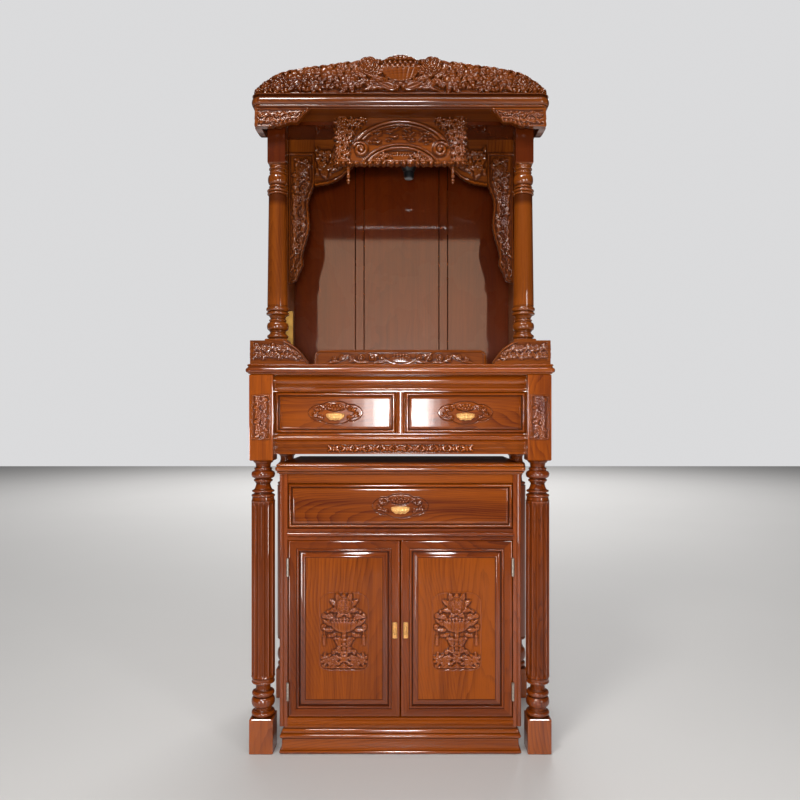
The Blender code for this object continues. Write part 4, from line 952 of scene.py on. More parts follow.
def corner_board(kind, side, top_down):
    """A carved board that turns the corner, as a bracket under the cornice or a fence on the table."""
    low, high = box(kind + ("_left" if side < 0 else "_right"))
    reach_front, reach_side, thick = BOARD_REACH[kind]
    over_node, inset, setback = BOARD_CORNER[kind]
    corner = (box(over_node)[1][0] - inset, box("table_top")[0][1] + setback)
    fixed = high[2] if top_down else low[2]
    tall = high[2] - low[2]
    depth = carving_settings().board_depth * (0.7 if kind == "bracket" else 0.62)
    ground = 0.12 if kind == "bracket" else 0.34
    margin_end, margin_top, margin_foot = BOARD_MARGINS[kind]
    parts = []
    for face, reach in (("front", reach_front), ("side", reach_side)):
        read = outline(BOARD_OUTLINES[kind, face], reach)

        def extent(s, read=read):
            return tall * read(s)

        def relief(s, z, bottom, top, reach=reach):
            rise = (z - bottom) if not top_down else (top - z)
            whole = top - bottom
            plain_low, plain_high = margin_foot, whole - margin_top
            half = np.maximum((plain_high - plain_low) / 2, 0.002)
            scroll = vine(s - margin_end, rise - (plain_low + plain_high) / 2, BOARD_PITCH[kind], half)
            field = (s > margin_end) & (s < reach - 0.004) & (rise > plain_low) & (rise < plain_high)
            height = np.where(field, np.maximum(scroll, ground), 0.5)
            away = np.minimum(np.abs(rise - whole), 9.0)
            bead = np.where(s > 0.58 * reach, ridge(away - 0.004, 0.0035), 0.0)
            height = np.maximum(height * np.where((s > 0.58 * reach) & (away < 0.009), 0.3, 1.0), bead)
            if kind == "bracket":
                drops = ridge(np.hypot(s - 0.0125 * np.round(s / 0.0125), away - 0.006), 0.0045)
                height = np.where((s > 0.3 * reach) & (away < 0.01), np.maximum(0.25, drops), height)
            return height

        if face == "front":
            def place_at(s, up, out):
                return np.stack([side * (corner[0] - s), corner[1] - out, up], axis=-1)
            start, back = 0.0, (1, corner[1] + thick)
        else:
            def place_at(s, up, out):
                return np.stack([side * (corner[0] + out), corner[1] + s, up], axis=-1)
            start, back = thick, (0, side * (corner[0] - thick))
        s = stations(start, reach)
        if top_down:
            edges = (lambda s, extent=extent: fixed - extent(s), lambda s: fixed + 0 * s)
        else:
            edges = (lambda s: fixed + 0 * s, lambda s, extent=extent: fixed + extent(s))
        piece = carved(kind + "_" + face, s, *edges, relief, depth, place_at, back)
        paint(piece, material("shrine_level"))
        parts.append(piece)
    return join(kind + ("_left" if side < 0 else "_right") + "_carved", parts)


BOARD_REACH = {"bracket": (0.158, 0.157, 0.016), "fence": (0.165, 0.165, 0.014)}
BOARD_CORNER = {"bracket": ("cornice", 0.013, 0.028), "fence": ("table_top", 0.013, 0.013)}
BOARD_MARGINS = {"bracket": (0.008, 0.004, 0.005), "fence": (0.009, 0.005, 0.008)}
BOARD_PITCH = {"bracket": 0.044, "fence": 0.044}
FENCE_EDGE = (
    (0.0, 1.0), (0.58, 1.0), (0.64, 0.96), (0.72, 0.84), (0.8, 0.7), (0.88, 0.5), (0.94, 0.28), (1.0, 0.08))
BOARD_OUTLINES = {
    ("bracket", "front"): (
        (0.0, 1.0), (0.3, 1.0), (0.35, 0.92), (0.39, 0.99), (0.45, 0.99), (0.52, 0.88), (0.56, 0.86),
        (0.62, 0.77),
        (0.77, 0.77), (0.82, 0.6), (0.88, 0.36), (0.94, 0.22), (1.0, 0.05)),
    ("bracket", "side"): ((0.0, 1.0), (0.45, 0.96), (0.58, 0.88), (0.7, 0.75), (0.8, 0.6), (0.88, 0.42),
        (1.0, 0.08)),
    ("fence", "front"): FENCE_EDGE,
    ("fence", "side"): FENCE_EDGE,
}


class ALTAR_OT_corner_boards(bpy.types.Operator):
    """Carves the brackets under the cornice and the fences on the table"""

    bl_idname = "altar.corner_boards"
    bl_label = "Brackets and fences"

    def execute(self, context):
        for side, word in ((-1, "_left"), (1, "_right")):
            for kind in ("bracket", "fence"):
                settle(corner_board(kind, side, kind == "bracket"), kind + word)
        return {"FINISHED"}


class ALTAR_OT_centre_fence(bpy.types.Operator):
    """Carves the low fence between the two corner ones: a lotus and a scroll to each side"""

    bl_idname = "altar.centre_fence"
    bl_label = "Centre fence"

    def execute(self, context):
        low, high = box("fence_centre")
        half, base, tall = high[0], low[2], high[2] - low[2]
        notch = outline(
            ((0.0, 1.0), (0.925, 1.0), (0.945, 0.93), (0.965, 0.88), (0.985, 0.7), (1.0, 0.45)), half)

        def relief(x, z, bottom, top):
            x = np.abs(x)
            up = z - bottom
            whole = top - bottom
            height = np.zeros_like(x)
            for far, level, long, lean, bend in (
                (0.046, 0.16, 0.04, 0.3, -0.4), (0.062, 0.66, 0.034, -0.25, 0.5),
                (0.092, 0.18, 0.04, 0.25, -0.4), (0.122, 0.2, 0.036, 0.25, 0.4),
                (0.15, 0.64, 0.036, -0.25, -0.3), (0.178, 0.22, 0.036, 0.25, -0.5),
            ):
                height = over(height, leaf(x, up, (far, level * tall), lean, long, 0.005, bend, 3), 0.15)
            for far, level, size, hand in (
                (0.053, 0.5, 0.0118, 1), (0.082, 0.46, 0.0132, -1), (0.112, 0.48, 0.013, 1),
                (0.141, 0.44, 0.0115, -1), (0.168, 0.48, 0.01, 1), (0.192, 0.42, 0.0082, -1),
            ):
                height = over(height, curl(x, up, (far, level * tall), size, 2.6 + far * 20, hand, 0.17), 0.3)
            height = over(height, petal(x, up, (0.012, 0.16 * tall), 0.4, 0.04, 0.007, 0.25, -0.3), 0.25)
            height = over(height, petal(x, up, (0.006, 0.06 * tall), 0.1, 0.044, 0.0055, 0.25, 0.3), 0.3)
            seeds = (up > 0.46 * tall) & (up < 0.8 * tall - 9.0 * x * x) & (x < 0.027)
            height = np.where(seeds, 0.4 + 0.5 * bead_row(x, up, 0.0088, 0.0038, 0.66 * tall), height)
            height = over(height, lotus_bowl(x, up, (0.0, 0.14 * tall), 0.031, 0.42 * tall, 7), 0.3)
            border = ridge(whole - up - 0.005, 0.0022)
            end = ridge((half - x) - 0.0065, 0.0022)
            return np.maximum(np.maximum(np.maximum(height, 0.3), 0.8 * border), 0.8 * end)

        piece = carved(
            "fence_centre_carved", stations(-half, half), lambda x: base + 0 * x,
            lambda x: base + tall * notch(x), relief, carving_settings().board_depth - 0.002,
            facing_front(high[1] - 0.014), (1, high[1]))
        fit(piece, "shrine_level", "fence_centre")
        return {"FINISHED"}


def plaque_relief(half, base, tall):
    """An oval arch that ends in volutes, rows of shallow strokes, a ribbon over a lotus, and leaves."""
    centre_up, oval_x, oval_z = 0.026, 0.15, 0.1065

    def strokes(x, up):
        """Four groups of short thick level and slanting strokes, none of them a letter."""
        height = np.zeros_like(x)
        for group in range(4):
            middle = -0.075 + 0.05 * group
            drop = 0.0075 * (abs(group - 1.5) - 0.5)
            for row in range(5):
                for part in (-1, 0, 1):
                    if (group + row + 2 * part) % 4 == 1 or (row + group * part) % 3 == 2:
                        continue
                    long = 0.0115 + 0.0025 * ((group + row + part) % 3)
                    level = 0.108 - drop - 0.0083 * row
                    lean = 0.55 * (((row + group + part) % 3) - 1)
                    start = middle + 0.0125 * part + 0.0022 * ((row + group) % 2) - long / 2
                    u, v = along(x, up, (start, level - 0.5 * long * math.sin(lean)), lean)
                    taper = 0.0034 * np.sqrt(np.clip(1 - (2 * u / long - 1) ** 2, 0, 1)) + 1e-6
                    height = np.maximum(height, np.where((u > 0) & (u < long), ridge(v / taper, 1.0), 0.0))
        return height

    def relief(x, z, low, high):
        up = z - base
        wide = np.abs(x)
        arch = np.hypot(x / oval_x, np.maximum(up - centre_up, 0.0) / oval_z)
        near = 0.118
        height = 0.08 + 0.8 * vine(up - 0.004, half - 0.024 - wide, 0.046, 0.024 + 0 * wide, 0.6)
        for far, level, size, petals in (
            (0.175, 0.12, 0.015, 5), (0.144, 0.125, 0.0125, 5), (0.184, 0.082, 0.013, 5),
            (0.18, 0.046, 0.014, 5), (0.172, 0.015, 0.0125, 5), (0.142, 0.012, 0.011, 5),
            (0.16, 0.064, 0.009, 5), (0.114, 0.134, 0.009, 5), (0.16, 0.1, 0.009, 5),
            (0.156, 0.033, 0.008, 5), (0.144, 0.094, 0.0075, 5), (0.127, 0.116, 0.0085, 5),
            (0.152, 0.079, 0.007, 5),
        ):
            height = over(height, spray(wide, up, (far, level), size, 6, petals, far * 90), 0.2)
        height = np.where(arch < 0.99, 0.22, height)
        field = (arch < 0.86) & (up > 0.03)
        height = np.where(field, 0.1 + 0.85 * strokes(x, up), height)
        ribbon = np.hypot(x / 0.112, (up + 0.03) / 0.083)
        under = (ribbon < 1.0) & (up > 0.006)
        lower = np.maximum(0.08, 0.8 * vine(wide - 0.012, up - 0.02, 0.044, 0.016 + 0 * wide, 1.0))
        height = np.where(under, lower, height)
        for far, level, size in ((0.049, 0.026, 0.0085), (0.066, 0.014, 0.0075), (0.088, 0.01, 0.006)):
            height = np.where(
                under, over(height, spray(wide, up, (far, level), size, 6, 5, far * 70), 0.25), height)
        height = over(height, petal(wide, up, (0.01, 0.008), 0.35, 0.038, 0.006, 0.2, -0.2), 0.3)
        bud = lotus_bowl(x, up, (0.0, 0.0085), 0.0275, 0.021, 7)
        seeds = (up > 0.026) & (up < 0.0385) & (wide < 0.0245)
        height = np.where(seeds, 0.35 + 0.5 * bead_row(x, up, 0.0082, 0.0036, 0.0335), height)
        height = over(height, bud, 0.35)
        band = np.maximum(
            ridge((ribbon - 0.975) * 0.083, 0.004), 0.85 * ridge((ribbon - 1.085) * 0.083, 0.0028))
        height = np.where((wide < near - 0.008) & (up > 0.01), np.maximum(height, 0.9 * band), height)
        rim = np.maximum(ridge((arch - 0.955) * 0.12, 0.0062), 0.8 * ridge((arch - 0.87) * 0.12, 0.004))
        height = np.where(up > 0.046, np.maximum(height, rim), height)
        scroll = curl(wide, up, (near, 0.046), 0.0272, 0.35, 1, 0.2, 1.7)
        disc = np.hypot(wide - near, up - 0.046) < 0.0272
        height = np.where(disc, np.maximum(scroll, 0.16), height)
        tips = np.maximum(
            bead_row(wide + 0.01, up, 0.02, 0.0075, 0.004),
            0.8 * bead_row(wide + 0.004, up, 0.0133, 0.0048, 0.005))
        return np.maximum(np.where(up < 0.009, 0.15, height), np.where(up < 0.0125, 0.9 * tips, 0.0))

    return relief


class ALTAR_OT_plaque(bpy.types.Operator):
    """Carves the hanging plaque and turns the two drops under it"""

    bl_idname = "altar.plaque"
    bl_label = "Plaque and drops"

    def execute(self, context):
        low, high = box("plaque")
        half, base, tall = high[0], low[2], high[2] - low[2]

        def foot(x):
            waves = 0.6 * np.abs(np.cos(math.pi * x / 0.02)) ** 1.5
            waves = waves + 0.4 * np.abs(np.sin(math.pi * x / 0.0133))
            return base + 0.0055 * waves * (np.abs(x) < 0.98 * half)

        def leafy_sides(s, up, out):
            notch = 0.0075 * np.abs(np.sin(math.pi * (up - base) / 0.0155)) ** 0.8 * ramp(
                np.abs(s), 0.82 * half, half)
            return facing_front(high[1] - 0.018)(s - np.sign(s) * notch, up, out)

        piece = carved(
            "plaque_carved", stations(-half, half), foot, lambda x: high[2] + 0 * x,
            plaque_relief(half, base, tall),
            carving_settings().plaque_depth, leafy_sides, (1, high[1]))
        fit(piece, "shrine_level", "plaque")
        members = (
            (6, 1.8, 3, 1.4), (8, 3, 3, 2.6), (3, 2.4, 2.4, 0), (12, 2.6, 2.4, 2.8), (3, 2.2, 2.2, 1.4),
            (12, 2.4, 3, 2.4), (6.8, 4, 4, 1.5),
        )
        for word in ("left", "right"):
            low, high = box("pendant_" + word)
            centre = (low + high) / 2
            rings = [round_ring(centre, radius, z, 24) for z, radius in turning(members, low[2])]
            piece = loft("pendant_" + word + "_turned", rings)
            fit(piece, "shrine_upright", "pendant_" + word)
        return {"FINISHED"}


def turning(members, low_z):
    """Heights and radii of a turned stretch from below. A member is, in millimetres, its height, the radius
    at its foot and head, and how far it swells (or hollows, below zero) between them."""
    return edge_moulding([(tall, foot, head, -swell) for tall, foot, head, swell in members], low_z)


def round_ring(centre, radius, z, sides, flutes=0, flute_depth=0.0):
    """A circle at one height, fluted where flutes are given."""
    angle = np.linspace(0.0, 2 * math.pi, sides, endpoint=False)
    size = np.full(sides, radius)
    if flutes:
        size = size - flute_depth * np.abs(np.sin(flutes * angle / 2)) ** 0.7
    return np.column_stack(
        [centre[0] + size * np.cos(angle), centre[1] + size * np.sin(angle), np.full(sides, z)])


def square_ring(centre, half, z, sides, sharp=60.0):
    """A square with softly rounded corners at one height, with as many points as a circle."""
    angle = np.linspace(0.0, 2 * math.pi, sides, endpoint=False)
    size = half / (np.abs(np.cos(angle)) ** sharp + np.abs(np.sin(angle)) ** sharp) ** (1 / sharp)
    return np.column_stack(
        [centre[0] + size * np.cos(angle), centre[1] + size * np.sin(angle), np.full(sides, z)])


def turned_post(name, centre, sides, foot, lower, shaft, upper, head):
    """A post from below: square rings, turned members, a shaft, turned members and square rings. Foot and
    head are the square rings' heights and half widths. Shaft gives, between two heights, its rings' radii and
    heights, and the flutes where it has any."""
    rings = [square_ring(centre, half, z, sides) for z, half in foot]
    rings += [round_ring(centre, radius, z, sides) for z, radius in turning(lower, foot[-1][0] + FOOT_GAP)]
    shaft_low = rings[-1][0][2]
    shaft_high = head[0][0] - HEAD_GAP - MM * sum(member[0] for member in upper)
    between = shaft(shaft_low, shaft_high)
    rings += [round_ring(centre, radius, z, sides, *fluting) for radius, z, *fluting in between]
    rings += [round_ring(centre, radius, z, sides) for z, radius in turning(upper, shaft_high)]
    rings += [square_ring(centre, half, z, sides) for z, half in head]
    return loft(name, rings, TURNED_ANGLE)


class ALTAR_OT_columns(bpy.types.Operator):
    """Turns the two columns between the table and the cornice"""

    bl_idname = "altar.columns"
    bl_label = "Columns"

    def execute(self, context):
        lower = (
            (3, 26.5, 26.5, 0), (11, 26.5, 26.5, 4.5), (2, 25.5, 25.5, 0), (7, 24.5, 22.5, -1),
            (2, 24.5, 24.5, 0), (26, 24, 24, 7.5), (2, 23.5, 23.5, 0), (6, 22.5, 22.5, 3),
            (12, 21.5, 27.5, -1.5), (9, 29, 29, 4.5), (2, 28.5, 28.5, 0), (13, 29, 29, 4.8), (4, 30, 30, 0),
        )
        upper = (
            (6, 26.8, 26.8, 3.5), (2, 26.2, 26.2, 0), (8, 26.8, 26.8, 4.2), (4, 23.5, 22.5, 0),
            (7, 22.5, 22.5, 3.2), (3, 22.5, 22.5, 0), (30, 22.5, 22.5, 6.2), (3, 22.5, 22.5, 0),
            (6, 21.5, 21.5, 2.8), (5, 21.5, 23, -1), (5, 23.5, 23.5, 2.5), (8, 22.5, 25, -1),
        )
        shaft_foot, shaft_head, head_half = 0.0305, 0.0264, 0.026

        def shaft(foot, head):
            steps = np.linspace(0.0, 1.0, 9)
            return [(shaft_foot + (shaft_head - shaft_foot) * t, foot + (head - foot) * t) for t in steps]

        for word in ("left", "right"):
            low, high = box("column_" + word)
            half = (high[0] - low[0]) / 2
            base_top, head_low = low[2] + 0.078, high[2] - 0.144
            foot = ((low[2], half), (base_top - 0.003, half), (base_top, half - 0.003))
            head = (
                (head_low + HEAD_GAP, head_half - 0.004), (head_low + 0.004, head_half), (high[2], head_half))
            piece = turned_post(
                "column_" + word + "_turned", (low + high) / 2, 48, foot, lower, shaft, upper, head)
            # The head takes the darker niche lacquer: painted shade under the cornice
            paint(piece, material("shrine_upright"), material("niche_upright"))
            for face in piece.data.polygons:
                if face.center.z > head_low + 0.003:
                    face.material_index = 1
            settle(piece, "column_" + word)
        return {"FINISHED"}


SIDE_BOARD_OUTLINE = (
    (0.0, 1.0), (0.3, 1.0), (0.33, 0.965), (0.357, 0.916), (0.385, 0.845), (0.4235, 0.783), (0.46, 0.765),
    (0.492, 0.771), (0.54, 0.8), (0.59, 0.819), (0.62, 0.806), (0.645, 0.783), (0.68, 0.735),
    (0.713, 0.687), (0.746, 0.625), (0.779, 0.578), (0.8, 0.553), (0.818, 0.542), (0.845, 0.56),
    (0.869, 0.578), (0.89, 0.54), (0.933, 0.42), (0.96, 0.36), (0.984, 0.31), (1.0, 0.17),
)
ARCH_OUTLINE = (
    (0.0, 0.37), (0.2, 0.375), (0.33, 0.4), (0.42, 0.43), (0.5, 0.5), (0.55, 0.56), (0.6, 0.66),
    (0.65, 0.74), (0.7, 0.83), (0.77, 0.9), (0.85, 0.955), (1.0, 1.0),
)


class ALTAR_OT_niche_boards(bpy.types.Operator):
    """Carves the two boards that hang beside the niche and the arch between them"""

    bl_idname = "altar.niche_boards"
    bl_label = "Side boards and arch"

    def execute(self, context):
        depth = carving_settings().board_depth - 0.001
        for side, word in ((-1, "left"), (1, "right")):
            low, high = box("side_board_" + word)
            outer, inner = max(abs(low[0]), abs(high[0])), min(abs(low[0]), abs(high[0]))
            base, top = low[2], high[2]
            drop, wide = top - base, outer - inner
            back = high[1]
            read = outline(SIDE_BOARD_OUTLINE, drop)

            def width_at(z, read=read, top=top, wide=wide):
                scallop = 0.0016 * np.abs(np.sin(math.pi * (top - z) / 0.0165)) * (top - z > 0.14)
                return wide * read(top - z) - scallop

            def relief(z, x, low_x, high_x, top=top, drop=drop):
                hang = top - z
                whole = high_x - low_x
                off_inner = x - low_x
                off_outer = high_x - x
                middle = (off_inner - off_outer) / 2 + 0.0015
                half = np.maximum(whole / 2 - 0.0065, 0.002)
                scroll = vine(hang - 0.048, middle, 0.082, half, 0.8)
                height = np.where((hang > 0.122) & (off_inner > 0.006) & (off_outer > 0.005), scroll, 0.0)
                flower_at = (0.097, 0.0)
                inside = (hang > 0.05) & (off_inner > 0.01) & (off_outer > 0.008)
                upper = vine(hang - 0.047, middle, 0.052, half, 0.2)
                height = np.where((hang > 0.06) & (hang <= 0.122) & inside, upper, height)
                height = over(height, peony(hang, middle, flower_at, 0.021, 0.5), 0.25)
                for at in (0.185, 0.262, 0.335):
                    height = over(height, blossom(hang, middle, (at, 0.006), 0.0125, 6, at * 40), 0.3)
                line = ridge(off_inner - 0.0042, 0.003)
                line = np.maximum(line, np.where(hang > 0.044, ridge(off_outer - 0.003, 0.002), 0.0))
                line = np.where(hang < 0.044, 0.0, line)
                across = ridge(hang - 0.046, 0.0024) * (off_inner > 0.003)
                return np.maximum(np.maximum(height, 0.8 * line), 0.8 * across)

            def place_at(z, x, out, side=side, back=back):
                return np.stack([side * x, back - CARVED_BOARD_BODY - out, z], axis=-1)

            piece = carved(
                "side_board_" + word + "_carved", stations(base, top),
                lambda z, outer=outer, width_at=width_at: outer - width_at(z), lambda z,
                outer=outer: outer + 0 * z,
                relief, depth, place_at, (1, back))
            fit(piece, "shrine_upright", "side_board_" + word)

        low, high = box("arch_apron")
        half, base, top = high[0], low[2], high[2]
        drop = top - base
        read = outline(ARCH_OUTLINE, half)

        def foot(x):
            scallop = 0.0016 * np.abs(np.sin(math.pi * x / 0.0155))
            return top - drop * read(x) + scallop

        def relief(x, z, low_z, high_z):
            x = np.abs(x)
            up = z - low_z
            hang = high_z - z
            whole = high_z - low_z
            band = np.maximum((whole - 0.02) / 2, 0.004)
            height = vine(x - 0.02, up - 0.01 - band, 0.08, band * 0.98, 0.4)
            for at, level in ((0.165, 0.5), (0.212, 0.45), (0.245, 0.62)):
                height = over(
                    height, blossom(x, up, (at * half / 0.2714, level * 0.1), 0.013, 6, at * 30), 0.25)
            height = np.where((up > 0.008) & (hang > 0.012) & (x < half - 0.004), height, 0.0)
            return np.maximum(height, 0.8 * ridge(up - 0.0042, 0.003))

        piece = carved(
            "arch_apron_carved", stations(-half, half, 0.0016), foot, lambda x: top + 0 * x, relief, depth,
            facing_front(high[1] - CARVED_BOARD_BODY), (1, high[1]), 0.0018)
        fit(piece, "shrine_level", "arch_apron")
        return {"FINISHED"}


class ALTAR_OT_lamp_fitting(bpy.types.Operator):
    """Turns the black lamp holder under the ceiling"""

    bl_idname = "altar.lamp_fitting"
    bl_label = "Lamp fitting"

    def execute(self, context):
        low, high = box("lamp_fitting")
        centre = (low + high) / 2
        members = (
            (3, 13.5, 15.5, 0), (16, 16, 16.5, 0), (3, 15, 15, 0), (18, 17, 24.5, 1), (4, 25, 25, 0),
            (3, 23.5, 23.5, 0), (28, 25, 25, 0), (3, 23.5, 23.5, 0), (28, 25, 25, 0), (3.5, 25, 22.5, 0),
        )
        rings = []
        for z, radius in turning(members, low[2]):
            rings.append(round_ring(centre, radius, z, 40))
        piece = loft("lamp_fitting_turned", rings)
        fit(piece, "black_plastic", "lamp_fitting")
        return {"FINISHED"}


# The table

class ALTAR_OT_table_top(bpy.types.Operator):
    """Moulds the table top"""

    bl_idname = "altar.table_top"
    bl_label = "Table top"

    def execute(self, context):
        low, high = box("table_top")
        members = (
            (2.5, 13.5, 12, 0), (2.5, 8, 7, 0), (14.5, 5.5, 5.5, 5.5), (1.5, 5.5, 5.5, 0), (5, 7, 4, -1.2),
            (4, 4.5, 8.5, 1.5),
        )
        piece = slab("table_top_moulded", low, high, members, 0.014, 8)
        fit(piece, "table_level", "table_top")
        return {"FINISHED"}


def leg_panel_relief(half, tall):
    """A thin cusped frame round an upright scroll with three flowers."""

    def relief(x, z, low, high):
        up = z - (low + high) / 2
        away = np.abs(up)
        cusp = 0.0016 * np.abs(np.cos(math.pi * away / 0.021)) * (away < tall / 2 - 0.008)
        shoulder = 0.45 * np.maximum(away - (tall / 2 - 0.012), 0.0)
        from_edge = np.minimum(half - np.abs(x) - cusp - shoulder, tall / 2 - away - 0.05 * np.abs(x))
        height = np.maximum(0.34, vine(up + 0.004, x, 0.042, half - 0.0055, 0.7))
        for level, size, petals in ((0.0, 0.0095, 6), (0.041, 0.008, 5), (-0.041, 0.008, 5)):
            height = over(height, spray(x, up, (0.0, level), size, 6, petals, level * 50), 0.3)
        border = ridge(from_edge - 0.002, 0.0018)
        return np.where(
            from_edge < 0.0046, np.where(from_edge < 0.0, 0.3, np.maximum(0.26, 0.85 * border)), height)

    return relief


def turned_leg(word, sides, lower, shaft, upper):
    """A leg of the table, turned between its square foot and its square block, which have the table's finish.
    With it come the place of its middle and half its width."""
    low, high = box("leg_" + word)
    centre, half = (low + high) / 2, (high[0] - low[0]) / 2
    foot_top, block_low = low[2] + LEG_FOOT, high[2] - LEG_BLOCK
    foot = (
        (low[2], half - 0.0015), (low[2] + 0.0015, half), (foot_top - 0.002, half), (foot_top, half - 0.002))
    head = (
        (block_low + HEAD_GAP, half - 0.003), (block_low + 0.003, half), (high[2] - 0.0015, half),
        (high[2], half - 0.0015))
    leg = turned_post("leg_" + word + "_turned", centre, sides, foot, lower, shaft, upper, head)
    paint(leg, material("frame_upright"), material("table_upright"))
    for face in leg.data.polygons:
        if face.center.z > block_low or face.center.z < foot_top:
            face.material_index = 1
    return leg, centre, half


class ALTAR_OT_front_legs(bpy.types.Operator):
    """Turns, flutes and carves the two front legs"""

    bl_idname = "altar.front_legs"
    bl_label = "Front legs"

    def execute(self, context):
        settings = carving_settings()
        flutes, shaft_radius = settings.flutes, 0.034
        lower = (
            (3, 27, 30, 0), (13, 28.5, 28.5, 5), (2, 27, 27, 0), (7, 25.5, 23.5, -1), (2, 25, 25, 0),
            (30, 25, 25, 8.5), (2, 25, 25, 0), (14, 26.5, 26.5, 5.5), (2, 23.5, 23.5, 0),
            (18, 22.5, 21.5, -1.5), (2, 26, 26, 0), (8, 29, 29, 4), (10, 31, 32.5, 0),
        )
        upper = (
            (10, 32.5, 31, 0), (9, 29, 29, 4.2), (2, 26.5, 26.5, 0), (3, 25, 25, 0), (7, 28, 28, 4),
            (20, 27, 20.5, -2), (3, 22.5, 22.5, 0), (8, 23.5, 23.5, 3.4), (2, 23, 23, 0), (22, 25, 25, 8.5),
            (2, 24.5, 24.5, 0), (7, 22.5, 22.5, 3), (14, 21.5, 24, -1.5), (6, 26, 30, 0),
        )
        panel_low, panel_high, panel_half = 0.893, 1.021, 0.0285
        relief = leg_panel_relief(panel_half, panel_high - panel_low)
        runs_out = ((0.001, 0.0), (0.006, 0.55), (0.012, 0.9), (0.018, 1.0))

        def shaft(foot, head):
            rings = [(foot + off, part) for off, part in runs_out]
            rings += [(foot + (head - foot) * t, 1.0) for t in (0.25, 0.5, 0.75)]
            rings += [(head - off, part) for off, part in reversed(runs_out)]
            return [(shaft_radius, z, flutes, part * settings.flute_depth) for z, part in rings]

        for word in ("left", "right"):
            body, centre, half = turned_leg("front_" + word, 8 * flutes, lower, shaft, upper)
            face = centre[1] - half
            front = carved(
                "leg_panel", centre[0] + stations(-panel_half, panel_half), lambda s: panel_low + 0 * s,
                lambda s: panel_high + 0 * s, lambda s, *places, at=centre[0]: relief(s - at, *places),
                settings.panel_depth * 0.8, facing_front(face), (1, face + 0.004), 0.001)
            paint(front, material("table_upright"))
            settle(join("leg_front_" + word + "_carved", [body, front]), "leg_front_" + word)
        return {"FINISHED"}


class ALTAR_OT_back_legs(bpy.types.Operator):
    """Turns the two back legs, which have no flutes or carving"""

    bl_idname = "altar.back_legs"
    bl_label = "Back legs"

    def execute(self, context):
        lower = (
            (3, 27, 29, 0), (16, 27, 27, 5), (3, 24.5, 24.5, 0), (46, 25, 25, 8), (4, 24, 24, 0),
            (24, 22.5, 22.5, -1.5), (10, 28, 28, 4.5),
        )
        upper = (
            (10, 28, 28, 4.5), (24, 23.5, 21.5, -1.5), (5, 23, 23, 0), (40, 25, 25, 8), (5, 24, 24, 0),
            (16, 23.5, 24.5, -1), (6, 26, 29, 0),
        )
        shaft_radius, rounding = 0.0335, 0.002

        def shaft(foot, head):
            return [(shaft_radius, foot + rounding), (shaft_radius, head - rounding)]

        for word in ("left", "right"):
            piece = turned_leg("back_" + word, 64, lower, shaft, upper)[0]
            settle(piece, "leg_back_" + word)
        return {"FINISHED"}


def beaded_rail(node, face, finish, flat, strip, bead):
    """A rail with a bead along its face. Flat and strip are how far in from its edges the flat and the sunk
    strip end. Bead is its centre's place in depth, its radius, its first angle and its steps."""
    low, high = box(node)
    depth, radius, start, steps = bead
    profile = [(high[1], low[2]), (high[1], high[2]), (face, high[2]), (face, high[2] - flat)]
    profile += [(face - 0.001, high[2] - strip)]
    profile += arc((depth, (low[2] + high[2]) / 2), radius, start, 360 - start, steps)
    profile += [(face - 0.001, low[2] + strip), (face, low[2] + flat), (face, low[2])]
    fit(run_moulding(node + "_moulded", profile, low[0], high[0]), finish, node)


class ALTAR_OT_rails(bpy.types.Operator):
    """Runs the mouldings of the front rails"""

    bl_idname = "altar.rails"
    bl_label = "Front rails"

    def execute(self, context):
        low, high = box("front_rail_upper")
        face = table_face()
        top, foot = high[2], low[2]
        profile = [(high[1], foot), (high[1], top), (face + 0.001, top), (face, top - 0.001)]
        profile += arc((face, top - 0.015), 0.013, 90, 270, 22)
        profile += [(face, top - 0.0285), (face - 0.0008, top - 0.0292), (face - 0.0008, top - 0.0312)]
        profile += arc((face, foot + 0.0085), 0.0055, 100, 260, 14)
        profile += [(face, foot + 0.002), (face, foot)]
        rail = run_moulding("front_rail_upper_moulded", profile, low[0], high[0])
        fit(rail, "table_level", "front_rail_upper")

        beaded_rail("front_rail_lower", face, "table_level", 0.003, 0.0042, (face - 0.0005, 0.0068, 80, 18))

        low, high = box("drawer_divider")
        plan = [(low[0], high[1]), (low[0], face + 0.004), (low[0] + 0.003, face + 0.0035)]
        plan += [(low[0] + 0.0035, face + 0.001)]
        for angle in np.radians(range(-80, 81, 10)):
            plan.append((0.0085 * math.sin(angle), face + 0.0005 - 0.005 * math.cos(angle)))
        plan += [(high[0] - 0.0035, face + 0.001), (high[0] - 0.003, face + 0.0035)]
        plan += [(high[0], face + 0.004), (high[0], high[1])]
        piece = loft("drawer_divider_moulded", [[(x, y, z) for x, y in plan] for z in (low[2], high[2])])
        fit(piece, "table_upright", "drawer_divider")

        face = box("cabinet_rail_middle")[0][1] + 0.006
        beaded_rail("cabinet_rail_middle", face, "frame_level", 0.007, 0.008, (face, 0.0059, 85, 16))
        return {"FINISHED"}


